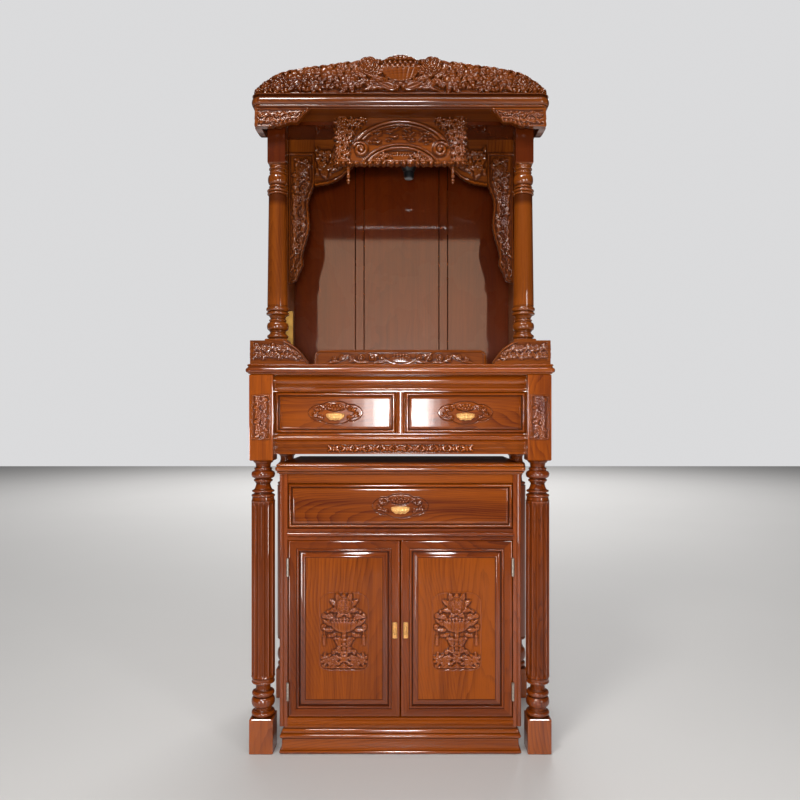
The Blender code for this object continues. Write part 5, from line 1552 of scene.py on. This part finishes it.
class ALTAR_OT_front_apron(bpy.types.Operator):
    """Carves the strip under the drawers: a bead and two leaves, repeated"""

    bl_idname = "altar.front_apron"
    bl_label = "Front apron"

    def execute(self, context):
        low, high = box("front_apron")
        pitch, half = 0.0385, 0.212
        middle = (low[2] + high[2]) / 2

        def relief(x, z, bottom, top):
            local = x - pitch * np.round(x / pitch)
            up = z - middle
            wide = np.abs(local)
            height = leaf(wide, np.abs(up), (0.0035, 0.001), 0.2, 0.0165, 0.0048, 0.35, 3)
            height = over(height, curl(wide, up, (0.012, -0.004), 0.0042, 2.6, 1, 0.2), 0.2)
            height = over(height, petal(local, up, (0.0, -0.007), math.pi / 2, 0.015, 0.0046, 0.4), 0.25)
            height = over(height, oval(local, up, (0.0, -0.0055), 0.0036, 0.0026), 0.4)
            height = over(height, oval(wide, up, (pitch / 2, 0.0), 0.0022, 0.003), 0.3)
            inside = (np.abs(x) < half) & (np.abs(up) < 0.0105)
            plain = np.where(np.abs(up) < 0.0125, 0.16, 0.26)
            return np.where(inside, np.maximum(height, 0.16), plain)

        edge = half + 0.001
        s = np.concatenate([[low[0]], stations(-edge, edge), [high[0]]])
        piece = carved(
            "front_apron_carved", s, lambda x: low[2] + 0 * x, lambda x: high[2] + 0 * x, relief,
            carving_settings().panel_depth, facing_front(high[1] - 0.018), (1, high[1]))
        fit(piece, "table_level", "front_apron")
        return {"FINISHED"}


# Drawers and doors

def table_face():
    """Where the faces of the table's rails and drawers lie in depth."""
    return box("front_rail_lower")[0][1] + 0.007


def cabinet_face():
    """Where the faces of the cabinet's drawer and doors lie in depth."""
    return box("cabinet_side_left")[0][1] + 0.002


def panel_rings(low, high, steps):
    """Upright rectangles that step in from a panel's edge. A step is its inset and its place in depth. One
    more at the last depth keeps the shading of the flat middle flat."""
    rings = []
    for inset, y in [*steps, (steps[-1][0] + FLAT_MARGIN, steps[-1][1])]:
        rings.append([
            (low[0] + inset, y, low[2] + inset), (high[0] - inset, y, low[2] + inset),
            (high[0] - inset, y, high[2] - inset), (low[0] + inset, y, high[2] - inset)])
    return rings


def bead_steps(start, end, y, proud, count=8):
    """Steps over a half-round bead between two insets."""
    steps = []
    for index in range(count + 1):
        t = index / count
        steps.append((start + (end - start) * t, y - proud * math.sqrt(max(0.0, 1 - (2 * t - 1) ** 2))))
    return steps


def tray(name, low, high, wall, floor):
    """A box that is open at the top, with walls of even thickness."""
    def plan(inset, z):
        return [
            (low[0] + inset, low[1] + inset, z), (high[0] - inset, low[1] + inset, z),
            (high[0] - inset, high[1] - inset, z), (low[0] + inset, high[1] - inset, z)]
    edge = 0.0006
    rings = [plan(0.0, low[2]), plan(0.0, high[2] - edge), plan(edge, high[2])]
    rings += [plan(wall - edge, high[2]), plan(wall, high[2] - edge), plan(wall, low[2] + floor)]
    return loft(name, rings)


DRAWER_CARTOUCHE = (
    (0.0, 1.0), (0.12, 0.99), (0.24, 0.95), (0.34, 0.88), (0.42, 0.79), (0.47, 0.73), (0.52, 0.73),
    (0.6, 0.73), (0.68, 0.7), (0.76, 0.64), (0.84, 0.54), (0.91, 0.42), (0.96, 0.28), (1.0, 0.05),
)


def drawer_carving(centre, half_x, half_z, face_y):
    """The lobed cartouche on a drawer: a lotus over a dark curved line and scrolls to both sides."""
    read = outline(DRAWER_CARTOUCHE, half_x)

    def relief(s, z, low, high):
        x, up = np.abs(s - centre[0]), z - centre[1]
        reach = (high - low) / 2
        from_edge = (reach - np.abs(up)) * 0.9
        height = 0.34 + 0 * x
        for far, level, angle, long, bend in (
            (0.03, 0.014, 0.75, 0.018, -0.3), (0.034, -0.012, -0.25, 0.02, 0.3),
            (0.05, -0.01, 0.35, 0.018, -0.4), (0.047, 0.006, 0.1, 0.016, 0.4),
        ):
            height = over(height, leaf(x, up, (far, level), angle, long, 0.005, bend, 3), 0.3)
        for far, level, radius, start in (
            (0.044, 0.0115, 0.0088, 2.4), (0.0605, -0.002, 0.0082, 2.0), (0.0395, -0.0125, 0.0076, 4.0),
        ):
            height = over(height, curl(x, up, (far, level), radius, start, 1), 0.3)
        height = over(height, oval(x, up, (0.0, 0.017), 0.025, 0.011) * 0.7, 0.3)
        seeds = (up > 0.008) & (up < 0.0255 - 12.0 * x * x) & (x < 0.021)
        dots = np.maximum(
            bead_row(x, up, 0.009, 0.0042, 0.0125), bead_row(x - 0.0045, up, 0.009, 0.004, 0.0195))
        height = np.where(seeds, 0.36 + 0.6 * dots, height)
        sill = ridge(up - 0.0035 - 11.0 * x * x, 0.0022) * (x < 0.026)
        height = height * (1 - 0.9 * sill)
        line = ridge(from_edge - 0.0026, 0.0015) * (from_edge < 0.006)
        return height * (1 - 0.95 * line)

    s = centre[0] + np.linspace(-half_x, half_x, int(2 * half_x / 0.001) + 1)
    piece = carved(
        "drawer_cartouche", s, lambda s: centre[1] - half_z * read(s - centre[0]),
        lambda s: centre[1] + half_z * read(s - centre[0]), relief, carving_settings().panel_depth,
        facing_front(face_y), (1, face_y + 0.002), 0.001, 0.0006)
    return paint(piece, material("table_level"))


def cup_pull(name, node, body):
    """A pale gilt pull: a shallow cup with a curved top, a lobed foot and a rolled rim."""
    low, high = box(node)
    centre = (low + high) / 2
    half_x, tall = (high[0] - low[0]) / 2, high[2] - low[2]

    def top(s):
        q = np.abs(s - centre[0]) / half_x
        return high[2] - tall * 0.16 * q ** 2

    def foot(s):
        q = np.abs(s - centre[0]) / half_x
        lobe = 0.035 * (1 - np.cos(4 * math.pi * q))
        return high[2] - tall * (0.3 + 0.66 * np.clip(1 - q ** 3.2, 0, 1) ** 0.62 - lobe)

    def relief(s, z, low_z, high_z):
        q = np.abs(s - centre[0]) / half_x
        t = np.clip((z - low_z) / np.maximum(high_z - low_z, 1e-5), 0, 1)
        off = np.minimum(np.minimum(z - low_z, high_z - z), 0.8 * half_x * (1 - q))
        rim = 0.75 * ridge(off - 0.0012, 0.0013)
        belly = 0.95 * np.sqrt(np.clip(1 - (q / 0.93) ** 2, 0, 1)) * np.sin(math.pi * t ** 0.8) ** 0.8
        ribs = 1 - 0.14 * np.abs(np.cos(2 * math.pi * q)) ** 6
        return np.maximum(rim, np.where(off > 0.002, belly * ribs, 0.0))

    s = centre[0] + np.linspace(-half_x, half_x, 72)
    piece = carved(name, s, foot, top, relief, 0.005, facing_front(high[1] - 0.0014), (1, high[1]), 0.0006)
    return fit(piece, "gilt", node, body)


class ALTAR_OT_drawers(bpy.types.Operator):
    """Makes the three drawers with their cartouches and pulls"""

    bl_idname = "altar.drawers"
    bl_label = "Drawers"

    def execute(self, context):
        for name, half_x, half_z in (
            ("table_drawer_left", 0.08, 0.036), ("table_drawer_right", 0.08, 0.036),
            ("cabinet_drawer", 0.081, 0.037),
        ):
            low, high = box(name)
            face = cabinet_face() if name == "cabinet_drawer" else table_face()
            back = face + 0.018
            steps = [(0.0, back), (0.0, face + 0.004), (0.0012, face + 0.003), (0.0016, face + 0.0014)]
            steps += bead_steps(0.0018, 0.0098, face + 0.002, 0.0034)
            steps += [(0.01, face + 0.0042), (0.011, face + 0.0058), (0.0122, face + 0.006),
                (0.0128, face + 0.0046)]
            steps += [(0.015, face + 0.0036), (0.0178, face + 0.003)]
            front = loft(name + "_front", panel_rings(low, high, steps))
            paint(front, material("table_level"))
            side_gap, top_gap = 0.004, 0.018
            tray_low = (low[0] + side_gap, back - 0.001, low[2] + 0.001)
            tray_high = (high[0] - side_gap, high[1], high[2] - top_gap)
            inside = tray(name + "_box", tray_low, tray_high, 0.01, 0.006)
            paint(inside, material("drawer_wood"))
            centre = ((low[0] + high[0]) / 2, (low[2] + high[2]) / 2)
            sign = drawer_carving(centre, half_x, half_z, face + 0.003)
            settle(join(name + "_built", [front, inside, sign]), name, name)
            cup_pull(name + "_pull_cup", name + "_pull", name)
        return {"FINISHED"}


DOOR_TOP = ((0.0, 1.0), (0.45, 1.0), (0.62, 0.985), (0.74, 0.955), (0.84, 0.915), (0.92, 0.87), (1.0, 0.8))
DOOR_FOOT = ((0.0, 0.985), (0.12, 1.0), (0.3, 0.985), (0.45, 1.0), (0.62, 0.985), (0.8, 0.97), (0.92, 0.92),
    (1.0, 0.86))


def door_carving(centre, half_x, half_z, face_y):
    """A vase of flowers in a thin frame: a flower over a lotus bowl on a stand, tassels and a wavy base."""
    read_top, read_foot = outline(DOOR_TOP, half_x), outline(DOOR_FOOT, half_x)

    def relief(s, z, low, high):
        x, up = np.abs(s - centre[0]), z - centre[1]
        height = 0.16 + 0.0 * x
        for far, level, angle, long, wide, bend in (
            (0.03, 0.044, 0.15, 0.03, 0.0068, -0.35), (0.026, 0.034, 0.55, 0.034, 0.0062, -0.4),
            (0.034, 0.02, 0.15, 0.03, 0.0066, 0.4), (0.03, 0.006, -0.3, 0.034, 0.0066, 0.4),
            (0.022, -0.006, -0.55, 0.026, 0.006, 0.3), (0.006, -0.026, 0.75, 0.022, 0.0055, -0.5),
            (0.005, -0.042, 0.35, 0.028, 0.006, 0.5), (0.006, -0.06, 0.6, 0.026, 0.0058, -0.4),
            (0.014, -0.074, 0.2, 0.03, 0.0062, -0.3), (0.03, -0.094, 0.3, 0.03, 0.006, 0.3),
            (0.01, -0.092, 0.0, 0.03, 0.0058, 0.3),
        ):
            height = over(height, leaf(x, up, (far, level), angle, long, wide, bend, 4), 0.22)
        for far, level, radius, start, hand in (
            (0.056, 0.044, 0.008, 2.8, -1), (0.058, 0.014, 0.0085, 3.0, -1),
            (0.0145, -0.03, 0.0095, 2.2, 1), (0.015, -0.05, 0.009, 4.0, -1), (0.03, -0.06, 0.007, 1.0, 1),
        ):
            height = over(height, curl(x, up, (far, level), radius, start, hand, 0.2), 0.25)
        for far, level, size in (
            (0.046, 0.056, 0.005), (0.044, 0.03, 0.0048), (0.042, -0.012, 0.0046), (0.026, -0.02, 0.0046)):
            height = over(height, oval(x, up, (far, level), size, size), 0.3)
        height = over(height, spray(x, up, (0.0, 0.074), 0.025, 9, 6, 0.17), 0.3)
        height = over(height, peony(x, up, (0.0, 0.074), 0.025, 0.3), 0.3)
        seeds = (up > 0.022) & (up < 0.0415 - 4.0 * x * x) & (x < 0.034)
        height = np.where(seeds, 0.4 + 0.5 * bead_row(x, up, 0.0096, 0.0042, 0.0335), height)
        height = over(height, lotus_bowl(x, up, (0.0, -0.002), 0.04, 0.032, 9), 0.3)
        stand = (x < 0.0052) & (up < 0.0) & (up > -0.064)
        height = np.where(stand, 0.6 + 0.35 * np.abs(np.cos(up * 260)), height)
        cord = ridge(x - 0.056, 0.0015) * (up < 0.012) * (up > -0.014)
        height = np.maximum(height, 0.75 * cord)
        height = over(height, oval(x, up, (0.056, -0.014), 0.0044, 0.0044), 0.3)
        tassel = (np.abs(x - 0.056) < 0.0036 + 0.05 * (-0.016 - up)) & (up < -0.017) & (up > -0.04)
        height = np.where(tassel, 0.55 + 0.35 * np.cos((x - 0.056) * 2600), height)
        for far, level, size in ((0.0, -0.076, 0.0115), (0.051, -0.08, 0.012), (0.028, -0.084, 0.0085)):
            height = over(height, spray(x, up, (far, level), size, 7, 5, far * 60), 0.3)
        crests = -0.098 + 0.0045 * np.cos(x * 190)
        base = (up < crests) & (up > -half_z + 0.008) & (x < 0.062)
        waves = 0.42 + 0.4 * np.abs(np.sin((x + 0.4 * up) * 190))
        height = np.where(base, waves, height)
        height = np.maximum(height, 0.9 * np.where(x < 0.062, ridge(up - crests, 0.0024), 0.0))
        reach = np.minimum(np.minimum(high - z, z - low), half_x - x)
        rim = 0.34 * ridge(reach - 0.0016, 0.0016)
        return np.where(reach < 0.0042, np.maximum(rim, 0.06), height)

    s = centre[0] + np.linspace(-half_x, half_x, int(2 * half_x / 0.00115) + 1)
    piece = carved(
        "door_cartouche", s, lambda s: centre[1] - half_z * read_foot(s - centre[0]),
        lambda s: centre[1] + half_z * read_top(s - centre[0]), relief, carving_settings().panel_depth,
        facing_front(face_y), (1, face_y + 0.002), 0.00115, 0.0005)
    return paint(piece, material("table_upright"))


def door_plate(name, node, body):
    """A gilt finger plate with round ends, a rolled rim and a dished middle."""
    low, high = box(node)
    centre = (low + high) / 2
    half_x, half_z = (high[0] - low[0]) / 2, (high[2] - low[2]) / 2

    def rise(s):
        q = np.clip(np.abs(s - centre[0]) / half_x, 0, 1)
        return half_z - 0.35 * half_x * (1 - np.sqrt(np.clip(1 - q ** 2.6, 0, 1)))

    def relief(s, z, low_z, high_z):
        off = np.minimum(np.minimum(z - low_z, high_z - z), half_x - np.abs(s - centre[0]))
        rim = ridge(off - 0.0011, 0.0011)
        knob = oval(s, z, (centre[0], centre[2]), 0.0036, 0.013)
        screws = np.maximum(oval(s, z, (centre[0], centre[2] + 0.0175), 0.0018, 0.0018),
                            oval(s, z, (centre[0], centre[2] - 0.0175), 0.0018, 0.0018))
        return np.maximum(np.maximum(0.7 * rim, knob), 0.6 * screws)

    s = centre[0] + np.linspace(-half_x, half_x, 26)
    piece = carved(
        name, s, lambda s: centre[2] - rise(s), lambda s: centre[2] + rise(s), relief, 0.003,
        facing_front(high[1] - 0.0016), (1, high[1]), 0.0006)
    return fit(piece, "gilt", node, body)


class ALTAR_OT_doors(bpy.types.Operator):
    """Makes the two doors with their frames, cartouches, finger plates and hinges"""

    bl_idname = "altar.doors"
    bl_label = "Doors"

    def execute(self, context):
        for word in ("left", "right"):
            name = "door_" + word
            low, high = box(name)
            face, back, edge = cabinet_face(), high[1], 0.031
            steps = [(0.0012, back), (0.0, back - 0.0012)]
            steps += [(inset, face + sunk) for inset, sunk in (
                (0.0, 0.003), (0.0012, 0.0012), (0.003, 0.0002), (0.006, 0.0), (edge - 0.0085, 0.0),
                (edge - 0.0078, 0.0), (edge - 0.0072, 0.0022), (edge - 0.0064, 0.0022))]
            steps += bead_steps(edge - 0.006, edge + 0.0008, face + 0.002, 0.003)
            steps += [(edge + inset, face + sunk) for inset, sunk in (
                (0.0012, 0.0042), (0.0018, 0.0072), (0.004, 0.0076), (0.0046, 0.006), (0.008, 0.005),
                (0.012, 0.003), (0.015, 0.0014), (0.0166, 0.0012), (0.017, 0.0026), (0.018, 0.003))]
            leaf_of_door = loft(name + "_frame", panel_rings(low, high, steps), sides=[1, 2, 1, 2])
            paint(leaf_of_door, material("table_upright"), material("frame_level"), material("frame_upright"))
            centre = ((low[0] + high[0]) / 2, (low[2] + high[2]) / 2 - 0.008)
            sign = door_carving(centre, 0.0705, 0.1125, face + 0.003)
            settle(join(name + "_built", [leaf_of_door, sign]), name, name)
            door_plate("door_pull_" + word + "_plate", "door_pull_" + word, name)
            for level in ("lower", "upper"):
                node = "hinge_" + level + "_" + word
                low, high = box(node)
                radius, knuckle = (high[0] - low[0]) / 2 / MM, (high[2] - low[2]) / 5 / MM
                members = [(0.6, 0.6 * radius, radius, 0.0)]
                for _ in range(5):
                    members += [(knuckle - 1.2, radius, radius, 0.0), (0.4, radius, 0.8 * radius, 0.0)]
                    members += [(0.4, 0.8 * radius, 0.8 * radius, 0.0), (0.4, 0.8 * radius, radius, 0.0)]
                members += [(0.8, radius, 0.5 * radius, 0.0)]
                stretch = (high[2] - low[2]) / (MM * sum(member[0] for member in members))
                rings = []
                for z, size in turning(members, 0.0):
                    rings.append(round_ring((low + high) / 2, size, low[2] + z * stretch, 20))
                hinge = loft(node + "_knuckles", rings)
                fit(hinge, "dull_steel", node, NODES[node]["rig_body"])
        return {"FINISHED"}


# The lower cabinet

class ALTAR_OT_cabinet(bpy.types.Operator):
    """Moulds the cabinet's top and plinth"""

    bl_idname = "altar.cabinet"
    bl_label = "Cabinet top and plinth"

    def execute(self, context):
        low, high = box("cabinet_top")
        members = (
            (3, 11, 10, 0), (4, 7, 5.5, 1), (1.5, 5.5, 5.5, 0), (13, 4.5, 4.5, 4.5), (1.5, 5, 5, 0),
            (7, 4, 8.5, 2.5),
        )
        piece = slab("cabinet_top_moulded", low, high, members, 0.012, 8)
        fit(piece, "table_level", "cabinet_top")

        low, high = box("cabinet_plinth")
        members = (
            (1.5, 4.5, 3, 0), (9, 3.5, 3.5, 3.5), (1.5, 5.5, 5.5, 0), (30, 4, 6.5, -1.2), (1.5, 8, 8, 0),
            (13, 7.5, 7.5, 6.5), (1.5, 9, 9, 0), (11, 8, 11, 2.5), (8, 12, 13, 0),
        )
        wall = 0.02
        rings = [corner_ring(low, high, inset, 0.004, z, 4) for z, inset in edge_moulding(members, low[2])]
        rings.append(corner_ring(low, high, wall, 0.002, rings[-1][0][2], 4))
        rings.append(corner_ring(low, high, wall, 0.002, low[2], 4))
        piece = loft("cabinet_plinth_moulded", rings, hoop=True)
        fit(piece, "table_level", "cabinet_plinth")

        for side, word in ((-1, "left"), (1, "right")):
            low, high = box("cabinet_side_" + word)
            outer, inner = max(abs(low[0]), abs(high[0])), min(abs(low[0]), abs(high[0]))
            front, bead = low[1], 0.005
            plan = [(inner, high[1]), (outer, high[1]), (outer, front + 3 * bead),
                (outer - 0.0012, front + 2.6 * bead)]
            plan += arc((outer - bead, front + bead), bead, 45, -135, 12)
            plan += [(outer - 2.5 * bead, front + 0.0024), (outer - 2.7 * bead, front + 0.0008),
                (inner, front + 0.0008)]
            rings = [[(side * x, y, z) for x, y in plan] for z in (low[2], high[2])]
            piece = loft("cabinet_side_" + word + "_moulded", rings)
            fit(piece, "frame_upright", "cabinet_side_" + word)
        return {"FINISHED"}


KEPT = {
    "table_board_level": ("back_apron", "drawer_board", "cabinet_rail_top", "cabinet_bottom",
        "cabinet_shelf", "cabinet_back"),
    "table_board_deep": ("side_apron_left", "side_apron_right"),
    "shrine_board_upright": ("side_wall_left", "side_wall_right"),
    "niche_upright": ("back_wall",),
    "niche_deep": ("ceiling",),
    "pale_batten_wood": ("pale_batten",),
}


class ALTAR_OT_plain_boards(bpy.types.Operator):
    """Finishes the plain boards, whose shape the frame already gives"""

    bl_idname = "altar.plain_boards"
    bl_label = "Plain boards"

    def execute(self, context):
        for finish, names in KEPT.items():
            for name in names:
                board = NODES[name]
                board.data.materials.clear()
                board.data.materials.append(material(finish))
        return {"FINISHED"}


# Stage

def area_light(name, place_at, aim, size, power, tint=(1.0, 1.0, 1.0)):
    """A soft rectangular light turned to a point."""
    bpy.ops.object.light_add(type="AREA", location=place_at)
    lamp = bpy.context.object
    lamp.name = name
    lamp.data.shape = "RECTANGLE"
    lamp.data.size, lamp.data.size_y = size
    lamp.data.energy = power
    lamp.data.color = tint
    lamp.visible_camera = False
    direction = np.array(aim) - np.array(place_at)
    flat = math.hypot(direction[0], direction[1])
    lamp.rotation_euler = (math.atan2(flat, -direction[2]), 0.0, math.atan2(-direction[0], direction[1]))
    return lamp


class ALTAR_OT_stage(bpy.types.Operator):
    """Sets the floor, the lights, the surround and the camera"""

    bl_idname = "altar.stage"
    bl_label = "Stage"

    def execute(self, context):
        settings = context.scene.altar_stage
        clear_selection()
        bpy.ops.mesh.primitive_plane_add(size=24.0, location=(0.0, 0.0, -0.0006))
        floor = context.object
        floor.name = "floor"
        made, tree, surface, where = new_material("pale_floor")
        cloud = place(tree, "ShaderNodeTexNoise", {"Vector": where, "Scale": 1.3, "Detail": 3.0})
        paler = tuple(min(1.0, 1.04 * value) for value in settings.floor)
        colours = mix_colour(tree, cloud.outputs["Fac"], rgba(settings.floor), rgba(paler))
        tree.links.new(colours, surface.inputs["Base Color"])
        surface.inputs["Roughness"].default_value = 0.55
        paint(floor, made)

        key, fill = settings.key_power, settings.fill_power
        window = settings.window_power
        area_light("key", (-0.9, -2.2, 3.5), (0.0, -0.1, 1.0), (0.6, 0.6), key, (1.0, 0.965, 0.92))
        area_light("fill", (1.8, -2.6, 1.3), (0.0, -0.1, 0.9), (0.3, 1.2), fill, (1.0, 0.98, 0.96))
        for step, (wide, tall) in enumerate(((0.36, 0.27), (0.46, 0.28), (0.58, 0.3), (0.72, 0.33))):
            spot = (-0.02 - 0.015 * step, -2.75 - 0.01 * step, 1.01)
            area_light(
                "window", spot, (spot[0], -0.2, 1.0), (wide, tall), (0.34, 0.3, 0.22, 0.14)[step] * window)
        area_light("strip", (0.0, -1.7, 3.5), (0.0, -0.2, 1.0), (2.4, 0.1), 0.5 * key)
        glow = area_light(
            "far_wall", (0.0, -3.2, 1.98), (0.0, 0.2, 1.98), (1.9, 0.95), 0.55 * window, (1.0, 0.64, 0.42))
        glow.visible_diffuse = False
        lit_by_glow = bpy.data.collections.new("lit_by_far_wall")
        lit_by_glow.objects.link(NODES["back_wall"])
        glow.light_linking.receiver_collection = lit_by_glow
        area_light("low", (-1.5, -2.4, 0.5), (0.0, 0.0, 0.6), (0.3, 0.8), 0.5 * fill)
        area_light("behind", (0.6, 3.2, 4.2), (0.0, 0.0, 1.0), (1.8, 1.4), 1.5 * key)
        wash = area_light("floor_wash", (0.0, 7.5, 5.0), (0.0, 7.5, 0.0), (9.0, 6.0), 14.0 * key)
        wash.visible_glossy = False

        world = bpy.data.worlds.new("surround")
        context.scene.world = world
        world.use_nodes = True
        tree = world.node_tree
        background = tree.nodes["Background"]
        background.inputs["Color"].default_value = rgba(settings.sky)
        ray = place(tree, "ShaderNodeLightPath").outputs
        mirrored = spread(
            tree, ray["Is Glossy Ray"], 0.0, 1.0, settings.sky_strength, 0.25 * settings.sky_strength)
        strength = place(tree, "ShaderNodeMix", {0: ray["Is Camera Ray"], 2: mirrored, 3: 0.86}).outputs[0]
        tree.links.new(strength, background.inputs["Strength"])
        context.scene.view_settings.view_transform = "Standard"

        front = CAD_BOX[0][1]
        bpy.ops.object.camera_add(
            location=(settings.aside, front - settings.distance, settings.eye),
            rotation=(math.pi / 2, 0.0, 0.0))
        camera = context.object
        camera.name = "camera"
        camera.data.lens = settings.lens
        camera.data.sensor_width = 36.0
        camera.data.shift_x = -0.00875
        camera.data.shift_y = 0.025
        context.scene.camera = camera
        return {"FINISHED"}


OPERATORS = (
    ALTAR_OT_finish, ALTAR_OT_crest, ALTAR_OT_cornice, ALTAR_OT_corner_boards, ALTAR_OT_centre_fence,
    ALTAR_OT_plaque,
    ALTAR_OT_columns, ALTAR_OT_niche_boards, ALTAR_OT_lamp_fitting, ALTAR_OT_table_top, ALTAR_OT_front_legs,
    ALTAR_OT_back_legs, ALTAR_OT_rails, ALTAR_OT_front_apron, ALTAR_OT_drawers, ALTAR_OT_doors,
    ALTAR_OT_cabinet,
    ALTAR_OT_plain_boards, ALTAR_OT_stage,
)
SETTINGS = {"altar_finish": AltarFinish, "altar_carving": AltarCarving, "altar_stage": AltarStage}


class ALTAR_PT_panel(bpy.types.Panel):
    """Lists the settings and the steps"""

    bl_idname = "ALTAR_PT_panel"
    bl_label = "Household Altar"
    bl_space_type = "VIEW_3D"
    bl_region_type = "UI"
    bl_category = "Altar"

    def draw(self, context):
        for name, group in SETTINGS.items():
            column = self.layout.column(align=True)
            column.label(text=group.__doc__)
            for key in group.__annotations__:
                column.prop(getattr(context.scene, name), key)
        column = self.layout.column(align=True)
        for operator in OPERATORS:
            column.operator(operator.bl_idname)


def register():
    """Registers the settings, the operators and the panel."""
    for group in (*SETTINGS.values(), *OPERATORS, ALTAR_PT_panel):
        bpy.utils.register_class(group)
    for name, group in SETTINGS.items():
        setattr(bpy.types.Scene, name, PointerProperty(type=group))


def unregister():
    """Takes them away again."""
    for name in SETTINGS:
        delattr(bpy.types.Scene, name)
    for group in (ALTAR_PT_panel, *reversed(OPERATORS), *reversed(SETTINGS.values())):
        bpy.utils.unregister_class(group)


def main():
    """Registers the add-on and makes every piece."""
    register()
    for operator in OPERATORS:
        prefix, name = operator.bl_idname.split(".")
        getattr(getattr(bpy.ops, prefix), name)()


if __name__ == "__main__":
    main()
